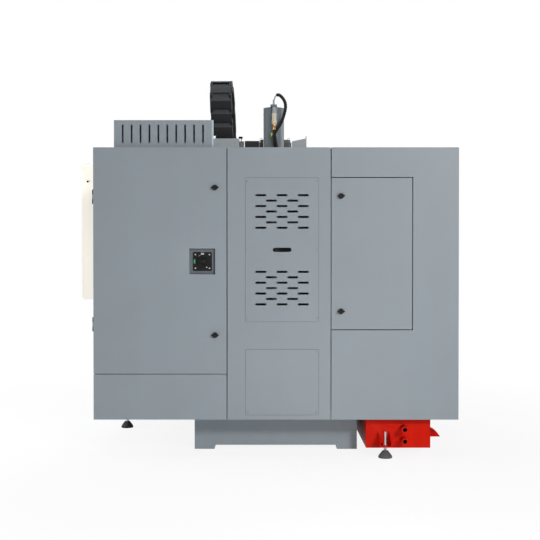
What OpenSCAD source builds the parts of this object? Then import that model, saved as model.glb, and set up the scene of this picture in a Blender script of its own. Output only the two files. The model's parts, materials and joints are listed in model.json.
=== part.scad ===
// Compact enclosed vertical milling machine, seen in the photo from behind.
// Origin on the floor, at the middle of the base's four anchor holes.
// +X is the operator's right, +Y points to the rear, +Z is up. Millimetres.

/* [Enclosure] */
// Width over the side panels
body_w = 1700; // [1640:10:1900]
// Reach of the enclosure beyond the cast base, in front and behind
body_reach = 205; // [195:5:270]
// Height of the panels' lower edge above the floor
skirt_z = 177; // [172:1:200]
// Height of the roof above the floor
roof_z = 1444; // [1435:1:1500]
// Thickness of the folded sheets
sheet = 3; // [2:0.5:4]
// Open seam between neighbouring rear panels
seam_gap = 4; // [3:0.5:6]
// Height of the front hood above the roof
hood_h = 126; // [110:2:140]

/* [Electrical cabinet] */
// Width of the cabinet on the right of the rear
cabinet_w = 622; // [600:2:680]
// Depth of the cabinet with its door
cabinet_d = 195; // [185:5:200]
// Height of the split between the cabinet door and the fixed panel below
door_split_z = 389.5; // [380:0.5:420]
// Side of the square pocket round the main switch
switch_pocket = 120; // [112:2:130]
// Side of the main switch plate
switch_plate = 88; // [80:1:92]

/* [Rear cover] */
// Width of the middle rear cover
center_w = 484; // [470:2:500]
// Width of the vent plate and the plate below it
vent_w = 340; // [330:2:360]
// Height of the vent plate
vent_h = 668; // [640:2:700]
// Height of the vent plate's middle above the floor
vent_z = 968; // [950:1:990]
// Length of one vent slot
slot_l = 51; // [46:1:56]
// Width of one vent slot
slot_w = 10; // [7:0.5:12]
// Height step between rows of slots
slot_row_step = 25.2; // [23:0.2:27]
// Width of the access door
access_w = 377; // [350:1:400]
// Height of the access door
access_h = 704; // [660:2:740]
// Height of the access door's lower edge
access_z = 598; // [580:1:620]

/* [Base and column] */
// Width of the cast base
base_w = 790; // [760:5:800]
// Depth of the cast base
base_d = 1090; // [1080:5:1120]
// Height of the bed that carries the guide rails
bed_z = 440; // [430:1:450]
// Width of each foot along the base's sides
foot_w = 97; // [90:1:110]
// Height of the recess between the feet
foot_recess = 20; // [15:1:30]
// Radius of an anchor hole
anchor_r = 9; // [7:0.5:11]
// Width of the column
column_w = 420; // [410:2:440]
// Depth of the column
column_d = 340; // [330:5:350]

/* [Axes] */
// Travel of the table to each side
travel_x = 200; // [150:5:205]
// Travel of the saddle to each side
travel_y = 130; // [100:5:132]
// Travel of the head, downwards from rest
travel_z = 330; // [250:5:340]
// Radius of the ball screws
screw_r = 14; // [12:0.5:16]
// Width of the table
table_w = 600; // [560:5:610]
// Depth of the table
table_d = 260; // [240:5:262]
// Thickness of the table
table_t = 78; // [70:1:78]
// Width of a table slot at the surface
tslot_w = 14; // [12:0.5:16]
// Distance from the column's front to the spindle's axis
throat = 330; // [320:1:340]
// Radius of the Z motor
z_motor_r = 54; // [48:1:58]
// Height of the Z motor
z_motor_h = 249; // [220:1:270]

/* [Roof fittings] */
// Width of the resistor box
resistor_w = 457; // [430:1:480]
// Height of the resistor box
resistor_h = 127; // [115:1:135]
// Depth of the resistor box
resistor_d = 130; // [110:2:140]
// Number of slots in the resistor box
resistor_slots = 10; // [8:1:11]
// Width of the energy chain
chain_w = 100; // [90:1:110]
// Height of a chain link
chain_t = 55; // [48:1:60]
// Outer radius of the chain's bend
chain_r = 140; // [130:1:150]
// Height of the chain's bend centre
chain_z = 1698; // [1680:1:1720]

/* [Coolant tank] */
// Width of the tank
tank_w = 304; // [280:2:310]
// Length of the tank, front to rear
tank_l = 1000; // [900:10:1040]
// Height of the tank's walls
tank_h = 134; // [120:1:136]
// Height of the tank's floor above the ground
tank_z = 34; // [30:1:40]
// Bore radius of the tank's pipe stubs
port_r = 10; // [8:0.5:12]

/* [Front] */
// Half width of the front opening
opening_half_w = 410; // [390:2:415]
// Width of the operator console
console_w = 279; // [260:1:300]
// Height of the operator console
console_h = 820; // [780:2:840]
// Depth of the operator console
console_d = 110; // [95:1:120]

/* [Hidden] */
$fn = 48;
// Overrun of every cut
over = 1;
// Radial clearance of a running fit
run = 0.05;
// Clearance between faces that move past each other
clear = 0.3;

half_w = body_w / 2;
rear_y = base_d / 2 + body_reach;
front_y = -rear_y;
side_signs = [-1, 1];

// Paint and material colours
panel_grey = [0.54, 0.575, 0.60];
cast_grey = [0.50, 0.535, 0.56];
pale_grey = [0.62, 0.65, 0.66];
motor_grey = [0.40, 0.44, 0.46];
steel = [0.70, 0.71, 0.72];
black = [0.11, 0.11, 0.12];
tank_red = [0.72, 0.05, 0.04];
cream = [0.95, 0.92, 0.86];
glass_tint = [0.55, 0.62, 0.64];
brass = [0.80, 0.55, 0.28];
start_green = [0.15, 0.55, 0.25];
hold_amber = [0.80, 0.62, 0.10];

// Rear panels
seam_right_x = half_w - cabinet_w;
seam_left_x = seam_right_x - center_w;
cover_x0 = seam_left_x + seam_gap / 2;
cover_x1 = seam_right_x - seam_gap / 2;
cover_return = 50;
lip_w = 20;
lip_setback = 30;
lip_y = rear_y - lip_setback;
vent_offset = -14;
vent_x = (seam_left_x + seam_right_x) / 2 + vent_offset;
vent_plate_t = 1.5;
vent_rows = 7;
vent_group_dz = 178;
slot_step = 98.7;
vent_window_w = 270;
vent_window_h = 180;
hand_slot_l = 87;
hand_slot_w = 20;
lower_plate_h = 305;
lower_plate_z = 352;
lower_window_w = 190;
lower_window_h = 190;
corner_notch_w = 31;
corner_notch_h = 4;

// Cabinet
cab_x0 = seam_right_x + seam_gap / 2;
cab_y0 = rear_y - cabinet_d;
cab_door_t = 23;
cab_door_gap = 2;
cab_y1 = rear_y - cab_door_t - cab_door_gap;
cab_z0 = door_split_z + sheet / 2;
cab_lip = 22;
cab_door_y0 = rear_y - cab_door_t;
cab_door_x1 = half_w - clear;
low_return = 50;
switch_inset = 115;
switch_x = seam_right_x + switch_inset;
switch_z = 914;
switch_plate_t = 5;
switch_body_w = 60;
switch_body_d = 45;
switch_neck_r = 12;
switch_shaft_r = 5;
switch_shaft_l = 30;
switch_knob_r = 27;
switch_knob_t = 8;
switch_grip_w = 14;
switch_grip_h = 6;
switch_corner_r = 6;

// Hinges of the cabinet door
hinge_zs = [621, 1215];
hinge_h = 66;
hinge_r = 3;
hinge_pin_r = 1.5;
hinge_stand = 3.5;
hinge_setback = 11;
hinge_x = half_w + hinge_stand;
hinge_y = rear_y - hinge_setback;
hinge_leaf_t = 2.5;
hinge_leaf_l = 35;
hinge_eye_shares = [0.33, 0.67];

// Wing locks
lock_shaft_r = 5;
lock_disc_r = 13;
lock_disc_t = 4;
lock_wing_l = 39;
lock_wing_w = 18;
lock_wing_t = 13;
lock_flat_share = 0.3;
cam_l = 40;
cam_w = 12;
cam_t = 3;
cam_setback = 34;
cab_lock_inset = 56;
cab_lock_x = seam_right_x + cab_lock_inset;
cab_lock_zs = [571, 1257];
access_lock_side = 46;
access_lock_x = seam_left_x - access_lock_side;
access_lock_inset = 84;
access_lock_zs = [access_z + access_lock_inset, access_z + access_h - access_lock_inset];

// Access door and its pivots
access_t = 22;
access_x1 = seam_left_x - seam_gap / 2;
access_x0 = seam_left_x - access_w;
access_gap = 4;
pivot_r = 3;
pivot_inset = 8;
pivot_x = access_x0 + pivot_inset;
pivot_y = rear_y - pivot_inset;
pivot_l = 11;
lug_w = 60;
lug_d = 32;

// Service box behind the access door
service_setback = 230;
service_y0 = rear_y - service_setback;
service_x0 = -half_w + sheet;
service_x1 = access_x1;
service_margin = 18;
service_z0 = access_z - service_margin;
service_z1 = access_z + access_h + service_margin;
lube_offset = 40;
lube_x = (service_x0 + service_x1) / 2 + lube_offset;
lube_w = 130;
lube_d = 100;
lube_pump_h = 110;
lube_tank_h = 150;
lube_lift = 250;
lube_z = access_z + lube_lift;
lube_cap_r = 22;
lube_cap_h = 16;

// Cabinet contents
mount_margin = 55;
module_d = 110;
module_w = 78;
module_h = 330;
module_gap = 12;
module_count = 5;
duct_h = 45;
duct_d = 55;
contactor_w = 48;
contactor_h = 90;
contactor_d = 75;
contactor_count = 7;

// Guide rails and carriages
rail_w = 34;
rail_h = 24;
rail_spare = 5;
stack_h = 36;
z_stack = 48;
carriage_w = 70;
carriage_l = 90;
carriage_lift = 4;
y_rail_x = 170;
z_rail_x = 140;
x_rail_dy = 95;

// Base
column_y1 = base_d / 2;
column_y0 = column_y1 - column_d;
column_z1 = roof_z - sheet;
trough_w = 120;
trough_d = 50;
core_rib = 30;
core_nx = 2;
core_ny = 3;
core_wall = 60;
core_roof = 40;
core_x = base_w / 2 - foot_w;
core_y = base_d / 2 - core_wall;
core_w = (2 * core_x - (core_nx - 1) * core_rib) / core_nx;
core_l = (2 * core_y - (core_ny - 1) * core_rib) / core_ny;
anchor_inset_x = 45;
anchor_inset_y = 90;
anchor_flange_t = 40;
anchor_notch_w = 80;
anchor_notch_l = 120;
anchor_notch_h = 140;
journal_r = 10;
boss_w = 90;
boss_t = 40;
boss_h = 28;
y_screw_lift = 6;
y_screw_z = bed_z + y_screw_lift;
y_boss_rear_gap = 10;
y_boss_rear_y = column_y0 - y_boss_rear_gap;
y_boss_rear_t = 30;
way_cover_w = 430;
way_cover_plate_t = 10;
way_cover_h = 65;

// Column ribs, seen from the rear
column_wall = 30;
column_rows = 3;
column_front = 60;
column_pocket_w = (column_w - 3 * column_wall) / 2;
column_pocket_h = (column_z1 - bed_z - (column_rows + 1) * column_wall) / column_rows;

// Saddle
saddle_lap = 5;
saddle_w = base_w + 2 * saddle_lap;
saddle_l = 340;
saddle_t = 90;
spindle_y = column_y0 - throat;
saddle_y0 = spindle_y - saddle_l / 2;
saddle_y1 = spindle_y + saddle_l / 2;
saddle_z0 = bed_z + stack_h;
saddle_z1 = saddle_z0 + saddle_t;
carriage_dy = 110;
y_nut_w = 80;
y_nut_drop = 56;
x_trough_w = 90;
x_trough_d = 46;
x_screw_drop = 11;
x_screw_z = saddle_z1 - x_screw_drop;
x_boss_t = 30;
x_boss_w = 80;
x_boss_h = 32;

// Table
table_z0 = saddle_z1 + stack_h;
table_z1 = table_z0 + table_t;
table_carriage_dx = saddle_w / 2 - rail_spare - carriage_l / 2 - travel_x;
x_nut_w = 70;
x_nut_drop = 72;
tslot_step = 80;
tslot_count = 3;
tslot_neck = 18;
tslot_foot_w = 24;
tslot_foot_h = 10;
gutter_w = 10;
gutter_d = 8;

// Axis motors
motor_w = 90;
motor_l = 145;
motor_cap_l = 40;
motor_cap_w = 76;
motor_bore_l = 15;
motor_corner_r = 8;
motor_plug_w = 30;
motor_plug_h = 22;

// Head
nose_spare = 75;
nose_z = table_z1 + travel_z + nose_spare;
head_back_y = column_y0 - z_stack;
head_plate_t = 50;
head_plate_w = 344;
head_plate_lift = 15;
head_plate_z0 = nose_z + head_plate_lift;
head_plate_h = 300;
head_carriage_h = 80;
head_carriage_dz = 180;
head_carriage_lift = 20;
head_body_lift = 30;
head_body_h = 225;
head_body_z0 = nose_z + head_body_lift;
head_body_z1 = head_body_z0 + head_body_h;
head_r = 95;
head_root_w = 300;
cartridge_r = 70;
cartridge_flange_r = 88;
cartridge_flange_t = 15;
cartridge_bore_r = 40;
spindle_nose_r = 44;
taper_r = 22.2;
taper_l = 65;
taper_share = 7 / 48;
drawbar_r = 9;
dog_w = 16;
dog_h = 8;
spindle_motor_w = 178;
spindle_motor_d = 190;
spindle_motor_h = 220;
spindle_cap_h = 15;
spindle_cap_inset = 12;
spindle_corner_r = 14;
terminal_w = 78;
terminal_d = 70;
terminal_h = 93;
z_screw_x = 9;
z_screw_stand = 20;
z_screw_y = column_y0 - z_screw_stand;
z_boss_w = 80;
z_boss_t = 30;
z_boss_reach = 25;
z_boss_top_t = 36;
z_bottom_lift = 10;
z_bottom = table_z1 + z_bottom_lift;
z_strip_t = 10;
z_trough_w = 100;
z_trough_d = 30;
z_nut_w = 70;
z_nut_h = 80;
z_nut_d = 55;
z_bracket_x0 = -70;
z_bracket_x1 = 88;
z_bracket_t = 20;
z_bracket_front = 60;
z_bracket_rear = 115;
z_bracket_y0 = z_screw_y - z_bracket_front;
z_bracket_y1 = z_screw_y + z_bracket_rear;
fitting_w = 34;
fitting_h = 10;
fitting_lap = 5;
plug_stand = 13;
fitting_over = 10;
fitting_y0 = z_screw_y + fitting_lap;
plug_y = z_screw_y + z_motor_r + plug_stand;
fitting_y1 = plug_y + fitting_over;
plug_x = 7;
plug_r = 9;
plug_l = 35;
sleeve_r = 12;
sleeve_l = 56;
gland_r = 8;
gland_l = 28;
lead_r = 5;

// Bellows
bellows_depth = 28;
bellows_t = 2;
z_folds = 16;
y_folds = 9;
y_bellows_depth = 24;

// Cable on the Z motor, route chosen by hand from the top of the motor's axis
cable_r = 7;
cable_sides = 8;
cable_steps = 3;
cable_route = [
    [0, 20, fitting_h], [0, 20, 25], [-2, 24, 43], [-11, 31, 60], [-25, 41, 65], [-43, 55, 50],
    [-57, 65, 26], [-61, 71, 2], [-58, 75, -24], [-48, 78, -60], [-33, 81, -94], [-18, 83, -117],
    [-6, 84, -142], [-8, 83, -170], [-14, 81, -202], [-18, 80, -230], [-18, 80, -z_motor_h],
];

// Energy chain and the brackets on the roof
chain_setback = 55;
chain_y = column_y0 + chain_setback;
chain_x0 = 216;
chain_mid_r = chain_r - chain_t / 2;
chain_rear_lift = 97;
chain_front_lift = 80;
chain_rear_z = roof_z + chain_rear_lift;
chain_front_z = head_plate_z0 + head_plate_h + chain_front_lift;
chain_end = chain_t / 4;
chain_rear_l = chain_z - chain_rear_z;
chain_bend_l = PI * chain_mid_r;
chain_l = chain_rear_l + chain_bend_l + chain_z - chain_front_z;
chain_links = 11;
chain_pitch = chain_l / chain_links;
chain_plate_t = 6.5;
chain_bar_t = 5;
chain_bar_share = 0.62;
chain_lid_share = 0.82;
chain_lid_drop = 7;
chain_lean_deg = -2.2;
chain_inner_step = 6;
arm_t = 20;
arm_shelf_t = 10;
bracket_x0 = 182;
bracket_x1 = 313;
bracket_d = 70;
bracket_reach = 6;
bracket_y1 = chain_y + chain_r + bracket_reach;
roof_right_x0 = column_w / 2 + sheet;
stop_block_w = 22;
stop_block_h = 72;
stop_block_d = 40;
stop_gap = 2;
hose_x0 = -153;
hose_x1 = -84;
hose_setback = 95;
hose_y0 = column_y0 + hose_setback;
hose_d = 60;
hose_h0 = 78;
hose_h1 = 92;
hose_flange_h = 106;

// Resistor box
resistor_inset = 93;
resistor_setback = 28;
resistor_x0 = half_w - resistor_inset - resistor_w;
resistor_y1 = rear_y - resistor_setback;
resistor_foot_h = 3;
resistor_foot_w = 24;
resistor_wall = 2;
resistor_slot_w = 8;
resistor_slot_h = 84;
resistor_slot_step = 41.7;
resistor_flange_w = 8;

// Guards inside the enclosure
guard_gap = 15;
guard_x = saddle_w / 2 + motor_l + guard_gap;
guard_lap = 5;
guard_y1 = column_y0 + guard_lap;
guard_z0 = bed_z;
gutter_dip = 110;
gutter_rim = 10;
gutter_t = 4;
apron_lift = 60;
apron_z = bed_z + apron_lift;
roof_front_y = column_y0;

// Front sheets and doors
hood_clear = 40;
hood_slope_d = 180;
hood_y1 = spindle_y - spindle_motor_d / 2 - hood_clear;
hood_y0 = hood_y1 - hood_slope_d;
hood_z = roof_z + hood_h;
opening_z0 = 620;
opening_z1 = 1480;
frame_d = 30;
door_gap = 3;
door_lap = 20;
front_door_t = 30;
front_door_clear = 7;
front_door_y1 = front_y - front_door_clear;
front_door_y0 = front_door_y1 - front_door_t;
front_door_z0 = opening_z0 - door_lap;
front_door_z1 = opening_z1 + door_lap;
front_door_w = opening_half_w + door_lap;
window_inset_x = 70;
window_z0 = 830;
window_z1 = 1330;
window_lap = 12;
window_t = 6;
handle_r = 11;
handle_x = 42;
handle_l = 240;
handle_stand = 42;
handle_z = 1010;
handle_stem_share = 0.7;
track_lift = 10;
track_z = front_door_z1 + track_lift;
track_t = 4;
track_rim_h = 8;
track_reach = 20;
track_d = front_door_clear + track_reach;
wheel_r = 14;
wheel_t = 9;
wheel_inset = 60;
hanger_w = 36;
hanger_t = 4;
guide_lip = 4;
guide_h = 16;
guide_drop = 22;
tongue_t = 5;

// Panel flanges and feet
flange_w = 70;
foot_inset = 38;
foot_x = half_w - foot_inset;
foot_front_inset = 100;
foot_mid_y = -60;
foot_ys = [front_y + foot_front_inset, foot_mid_y];
pad_r = 32.5;
pad_h = 35;
pad_neck_r = 13;
pad_rim_h = 12;
pad_top_share = 0.92;
nut_share = 1.7;
nut_h = 9;
stud_r = 8;

// Coolant tank
tank_clear = 30;
tank_x1 = -base_w / 2 - tank_clear;
tank_x0 = tank_x1 - tank_w;
tank_setback = 60;
tank_y1 = rear_y - tank_setback;
tank_y0 = tank_y1 - tank_l;
tank_z1 = tank_z + tank_h;
tank_rim = 15;
tank_foot_inset = 84;
tank_foot_x = tank_x1 - tank_foot_inset;
tank_foot_reach = 60;
tank_stud_r = 6;
tank_pad_h = 38;
bracket_plate_z = 52;
bracket_plate_t = 4;
bracket_plate_w = 56;
bracket_plate_l = 90;
gusset_h = 58;
gusset_tip_h = 14;
port_inset = 175;
port_x = tank_x1 - port_inset;
port_z = 75;
port_step = 55;
port_zs = [port_z, port_z + port_step];
port_wall = 5;
port_l = 68;
lug_setback = 192;
lug_y = tank_y1 - lug_setback;
lug_reach = 73;
lug_z = 56;
lug_h = 38;
lug_l = 50;
lug_tip_h = 3;

// Console and its arm
console_gap = 35;
console_x0 = half_w + console_gap;
console_x1 = console_x0 + console_w;
console_setback = 150;
console_y1 = front_y + console_setback;
console_y0 = console_y1 - console_d;
console_z1 = 1499;
console_z0 = console_z1 - console_h;
console_corner_r = 18;
console_pivot_reach = 55;
console_pivot_inset = 20;
console_pivot_x = half_w + console_pivot_reach;
console_pivot_y = console_y1 - console_pivot_inset;
arm_w = 60;
arm_h = 50;
arm_gap = 6;
arm_flange_w = 110;
arm_flange_h = 58;
arm_flange_t = 8;
pivot_pin_r = 15;
pivot_pin_l = 60;
thrust_r = 26;
screen_w = 230;
screen_h = 175;
screen_drop = 130;
screen_z = console_z1 - screen_drop;
screen_t = 8;
screen_recess = 5;
keypad_share = 0.44;
keypad_z0 = console_z0 + console_h * keypad_share;
key_cols = 8;
key_rows = 5;
key_w = 20;
key_h = 16;
key_t = 3;
key_step_x = 28;
key_step_z = 26;
console_mid_x = (console_x0 + console_x1) / 2;
control_share = 0.33;
control_z = console_z0 + console_h * control_share;
control_dx = 78;
estop_r = 20;
estop_stem_r = 11;
estop_t = 16;
estop_lift = 10;
estop_bore_l = 30;
button_r = 11;
button_t = 7;
button_bore_l = 20;
button_dx = 24;
button_share = 0.25;
button_z = console_z0 + console_h * button_share;
dial_r = 24;
dial_t = 16;
dial_shaft_r = 5;
pointer_share = 0.9;
wheel_share = 0.134;
wheel_z = console_z0 + console_h * wheel_share;
handwheel_r = 48;
handwheel_t = 14;
handwheel_hub_r = 20;
crank_r = 7;
crank_l = 26;
crank_share = 0.74;

// Shapes that several pieces share

// Box between two opposite corners
module block(lo, hi) {
    translate(lo) cube(hi - lo);
}

// Flat outline in X and Z, carried along Y
module along_y(y0, y1) {
    translate([0, y1, 0]) rotate([90, 0, 0]) linear_extrude(y1 - y0) children();
}

// Flat outline in Y and Z, carried along X
module along_x(x0, x1) {
    translate([x0, 0, 0]) rotate([90, 0, 90]) linear_extrude(x1 - x0) children();
}

// Flat outline in X and Y, carried along Z
module along_z(z0, z1) {
    translate([0, 0, z0]) linear_extrude(z1 - z0) children();
}

// Round bar along each axis
module rod_x(r, x0, x1, y, z) {
    translate([x0, y, z]) rotate([0, 90, 0]) cylinder(r = r, h = x1 - x0);
}

module rod_y(r, x, y0, y1, z) {
    translate([x, y1, z]) rotate([90, 0, 0]) cylinder(r = r, h = y1 - y0);
}

module rod_z(r, x, y, z0, z1) {
    translate([x, y, z0]) cylinder(r = r, h = z1 - z0);
}

// Slot outline with round ends, lying along X
module obround(l, w) {
    square([l - w, w], center = true);
    for (s = side_signs) translate([s * (l - w) / 2, 0]) circle(w / 2);
}

// Rectangle with round corners, centred
module rounded_rect(w, h, r) {
    square([w - 2 * r, h], center = true);
    square([w, h - 2 * r], center = true);
    for (sx = side_signs, sy = side_signs)
        translate([sx * (w / 2 - r), sy * (h / 2 - r)]) circle(r);
}

// Door skin with a folded edge all round, open towards the front
module door_pan(lo, hi) {
    difference() {
        block(lo, hi);
        block([lo.x + sheet, lo.y - over, lo.z + sheet], [hi.x - sheet, hi.y - sheet, hi.z - sheet]);
    }
}

// Rail outline with its clearance, cut from the carriages that ride on it
module rail_space(lo, hi) {
    block(lo - [clear, clear, clear], hi + [clear, clear, clear]);
}

// Folded outline of a bellows, as a zigzag strip of even thickness
function zigzag(n, l, d) = [for (i = [0 : 2 * n]) [i * l / (2 * n), (i % 2) * (d - bellows_t)]];

module zigzag_strip(n, l, d) {
    ridge = zigzag(n, l, d);
    back = [for (i = [2 * n : -1 : 0]) ridge[i] + [0, bellows_t]];
    polygon(concat(ridge, back));
}

// Base and column

module anchor_cuts() {
    for (sx = side_signs, sy = side_signs) {
        x = sx * (base_w / 2 - anchor_inset_x);
        y = sy * (base_d / 2 - anchor_inset_y);
        rod_z(anchor_r, x, y, -over, anchor_flange_t + over);
        notch_x = sx * (base_w / 2 - anchor_notch_w / 2 + over / 2);
        translate([notch_x, y, anchor_flange_t + anchor_notch_h / 2])
            cube([anchor_notch_w + over, anchor_notch_l, anchor_notch_h], center = true);
    }
}

module base_cores() {
    for (i = [0 : core_nx - 1], j = [0 : core_ny - 1]) {
        x = -core_x + i * (core_w + core_rib);
        y = -core_y + j * (core_l + core_rib);
        block([x, y, -over], [x + core_w, y + core_l, bed_z - trough_d - core_roof]);
    }
}

module base_casting() color(cast_grey) difference() {
    union() {
        difference() {
            block([-base_w / 2, -base_d / 2, 0], [base_w / 2, base_d / 2, bed_z]);
            block([-core_x, -base_d / 2 - over, -over], [core_x, base_d / 2 + over, foot_recess]);
            block([-trough_w / 2, -base_d / 2 - over, bed_z - trough_d],
                  [trough_w / 2, column_y0, bed_z + over]);
            base_cores();
            anchor_cuts();
        }
        block([-boss_w / 2, -base_d / 2, bed_z - trough_d],
              [boss_w / 2, -base_d / 2 + boss_t, y_screw_z + boss_h]);
        block([-boss_w / 2, y_boss_rear_y - y_boss_rear_t, bed_z - trough_d],
              [boss_w / 2, y_boss_rear_y, y_screw_z + boss_h]);
        block([-way_cover_w / 2, -base_d / 2, bed_z],
              [way_cover_w / 2, -base_d / 2 + way_cover_plate_t, bed_z + way_cover_h]);
    }
    rod_y(journal_r + run, 0, -base_d / 2 - over, column_y0 - over, y_screw_z);
}

module column_pockets() {
    for (s = side_signs, i = [0 : column_rows - 1]) {
        x = s * (column_wall + column_pocket_w) / 2;
        z = bed_z + column_wall + i * (column_pocket_h + column_wall);
        block([x - column_pocket_w / 2, column_y0 + column_front, z],
              [x + column_pocket_w / 2, column_y1 + over, z + column_pocket_h]);
    }
}

module column() color(cast_grey) difference() {
    union() {
        difference() {
            block([-column_w / 2, column_y0, bed_z], [column_w / 2, column_y1, column_z1]);
            column_pockets();
            block([z_screw_x - z_trough_w / 2, column_y0 - over, z_bottom + z_strip_t],
                  [z_screw_x + z_trough_w / 2, column_y0 + z_trough_d, column_z1 + over]);
        }
        block([z_screw_x - z_boss_w / 2, z_screw_y - z_boss_reach, column_z1 - z_boss_top_t],
              [z_screw_x + z_boss_w / 2, column_y0 + z_trough_d, column_z1]);
        block([z_screw_x - z_boss_w / 2, z_screw_y - z_boss_reach, z_bottom],
              [z_screw_x + z_boss_w / 2, column_y0 + z_trough_d, z_bottom + z_boss_t]);
        block([-head_plate_w / 2, head_back_y - bellows_depth - over, z_bottom],
              [head_plate_w / 2, column_y0, z_bottom + z_strip_t]);
    }
    rod_z(journal_r + run, z_screw_x, z_screw_y, z_bottom - over, column_z1 + over);
}

// Guide rails: two along Y on the bed, two along Z on the column
y_rail_half = carriage_dy + carriage_l / 2 + travel_y + rail_spare;
y_rail_y0 = spindle_y - y_rail_half;
y_rail_y1 = spindle_y + y_rail_half;
z_rail_z0 = z_bottom + z_strip_t + rail_spare;
z_rail_z1 = column_z1 - z_boss_top_t + rail_spare;

function y_rail_lo(s) = [s * y_rail_x - rail_w / 2, y_rail_y0, bed_z];
function y_rail_hi(s) = [s * y_rail_x + rail_w / 2, y_rail_y1, bed_z + rail_h];
function z_rail_lo(s) = [s * z_rail_x - rail_w / 2, column_y0 - rail_h, z_rail_z0];
function z_rail_hi(s) = [s * z_rail_x + rail_w / 2, column_y0, z_rail_z1];
function x_rail_lo(s) = [-saddle_w / 2 + rail_spare, spindle_y + s * x_rail_dy - rail_w / 2, saddle_z1];
function x_rail_hi(s) = x_rail_lo(s) + [saddle_w - 2 * rail_spare, rail_w, rail_h];

module guide_rails() color(steel) {
    for (s = side_signs) {
        block(y_rail_lo(s), y_rail_hi(s));
        block(z_rail_lo(s), z_rail_hi(s));
    }
}

// Axis motors

// Square motor body lying along X from x0, with a smaller rear cap and a plug on top
module axis_motor(bore_r) {
    difference() {
        union() {
            along_x(0, motor_l - motor_cap_l) rounded_rect(motor_w, motor_w, motor_corner_r);
            along_x(motor_l - motor_cap_l, motor_l) rounded_rect(motor_cap_w, motor_cap_w, motor_corner_r);
        }
        rod_x(bore_r, -over, motor_bore_l, 0, 0);
    }
    translate([motor_l - motor_cap_l / 2 - motor_plug_w / 2, -motor_w / 2, -motor_plug_h / 2])
        cube([motor_plug_w, motor_w / 2 - motor_cap_w / 4, motor_plug_h]);
}

module y_motor() color(black)
    translate([0, -base_d / 2, y_screw_z]) rotate([0, 0, -90]) axis_motor(journal_r + run);

module x_motor() color(black)
    translate([saddle_w / 2, spindle_y, x_screw_z]) axis_motor(journal_r + run);

module z_motor() color(motor_grey) difference() {
    union() {
        block([z_bracket_x0, z_bracket_y0, column_z1],
              [z_bracket_x1, z_bracket_y1, column_z1 + z_bracket_t]);
        rod_z(z_motor_r, z_screw_x, z_screw_y, column_z1 + z_bracket_t, column_z1 + z_bracket_t + z_motor_h);
    }
    rod_z(journal_r + run, z_screw_x, z_screw_y, column_z1 - over, column_z1 + z_bracket_t + motor_bore_l);
}

z_motor_top = column_z1 + z_bracket_t + z_motor_h;
z_bracket_top = column_z1 + z_bracket_t;

// Connector on top of the Z motor with the sleeve, gland and lead that hang behind it
module z_motor_plug() color(pale_grey) {
    block([z_screw_x - fitting_w / 2, fitting_y0, z_motor_top],
          [z_screw_x + fitting_w / 2, fitting_y1, z_motor_top + fitting_h]);
    sleeve_top = z_motor_top - plug_l;
    gland_top = sleeve_top - sleeve_l;
    rod_z(plug_r, plug_x, plug_y, sleeve_top, z_motor_top);
    color(cream) rod_z(sleeve_r, plug_x, plug_y, gland_top, sleeve_top);
    color(brass) rod_z(gland_r, plug_x, plug_y, gland_top - gland_l, gland_top);
    color(black) rod_z(lead_r, plug_x, plug_y, z_bracket_top, gland_top - gland_l);
}

// Tube swept along a smooth curve through hand-chosen points
function curve_point(p, i, t) =
    let (a = p[max(i - 1, 0)], b = p[i], c = p[i + 1], d = p[min(i + 2, len(p) - 1)])
    0.5 * (2 * b + (c - a) * t + (2 * a - 5 * b + 4 * c - d) * t * t
        + (3 * b - a - 3 * c + d) * t * t * t);

function smooth(p, n) = concat(
    [for (i = [0 : len(p) - 2], k = [0 : n - 1]) curve_point(p, i, k / n)], [p[len(p) - 1]]);

function unit(v) = v / norm(v);

function ring(p, i, r, sides) =
    let (t = unit(p[min(i + 1, len(p) - 1)] - p[max(i - 1, 0)]),
         u = unit(cross([0, 1, 0], t)), v = cross(t, u))
    [for (k = [0 : sides - 1]) p[i] + r * (cos(360 * k / sides) * u + sin(360 * k / sides) * v)];

module swept_tube(p, r, sides) {
    n = len(p);
    points = [for (i = [0 : n - 1]) each ring(p, i, r, sides)];
    walls = [for (i = [0 : n - 2], k = [0 : sides - 1])
        let (k2 = (k + 1) % sides)
        each [[i * sides + k, (i + 1) * sides + k, (i + 1) * sides + k2],
              [i * sides + k, (i + 1) * sides + k2, i * sides + k2]]];
    first = [for (k = [0 : sides - 1]) k];
    last = [for (k = [sides - 1 : -1 : 0]) (n - 1) * sides + k];
    polyhedron(points, concat(walls, [first, last]));
}

module z_motor_cable() color(black)
    translate([z_screw_x, z_screw_y, z_motor_top])
        swept_tube(smooth(cable_route, cable_steps), cable_r, cable_sides);

// Rear panels

module center_cover() color(panel_grey) {
    difference() {
        block([cover_x0, rear_y - sheet, skirt_z], [cover_x1, rear_y, roof_z]);
        along_y(rear_y - sheet - over, rear_y + over) {
            for (s = side_signs) translate([vent_x, vent_z + s * vent_group_dz])
                square([vent_window_w, vent_window_h], center = true);
            translate([vent_x, vent_z]) obround(hand_slot_l, hand_slot_w);
            translate([vent_x, lower_plate_z]) square([lower_window_w, lower_window_h], center = true);
        }
    }
    for (x = [cover_x0, cover_x1 - sheet])
        block([x, rear_y - cover_return, skirt_z], [x + sheet, rear_y - sheet, roof_z - sheet]);
    block([cover_x0 - lip_w, lip_y, access_z], [cover_x0, lip_y + sheet, access_z + access_h]);
    block([cover_x0, column_y1 - lip_w, roof_z - sheet], [cover_x1, rear_y - sheet, roof_z]);
}

// Staggered rows of slots: three and two in turn
module vent_rows_2d() {
    for (i = [0 : vent_rows - 1]) {
        n = i % 2 == 0 ? 3 : 2;
        z = (i - (vent_rows - 1) / 2) * slot_row_step;
        for (k = [0 : n - 1])
            translate([(k - (n - 1) / 2) * slot_step, z]) obround(slot_l, slot_w);
    }
}

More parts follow.
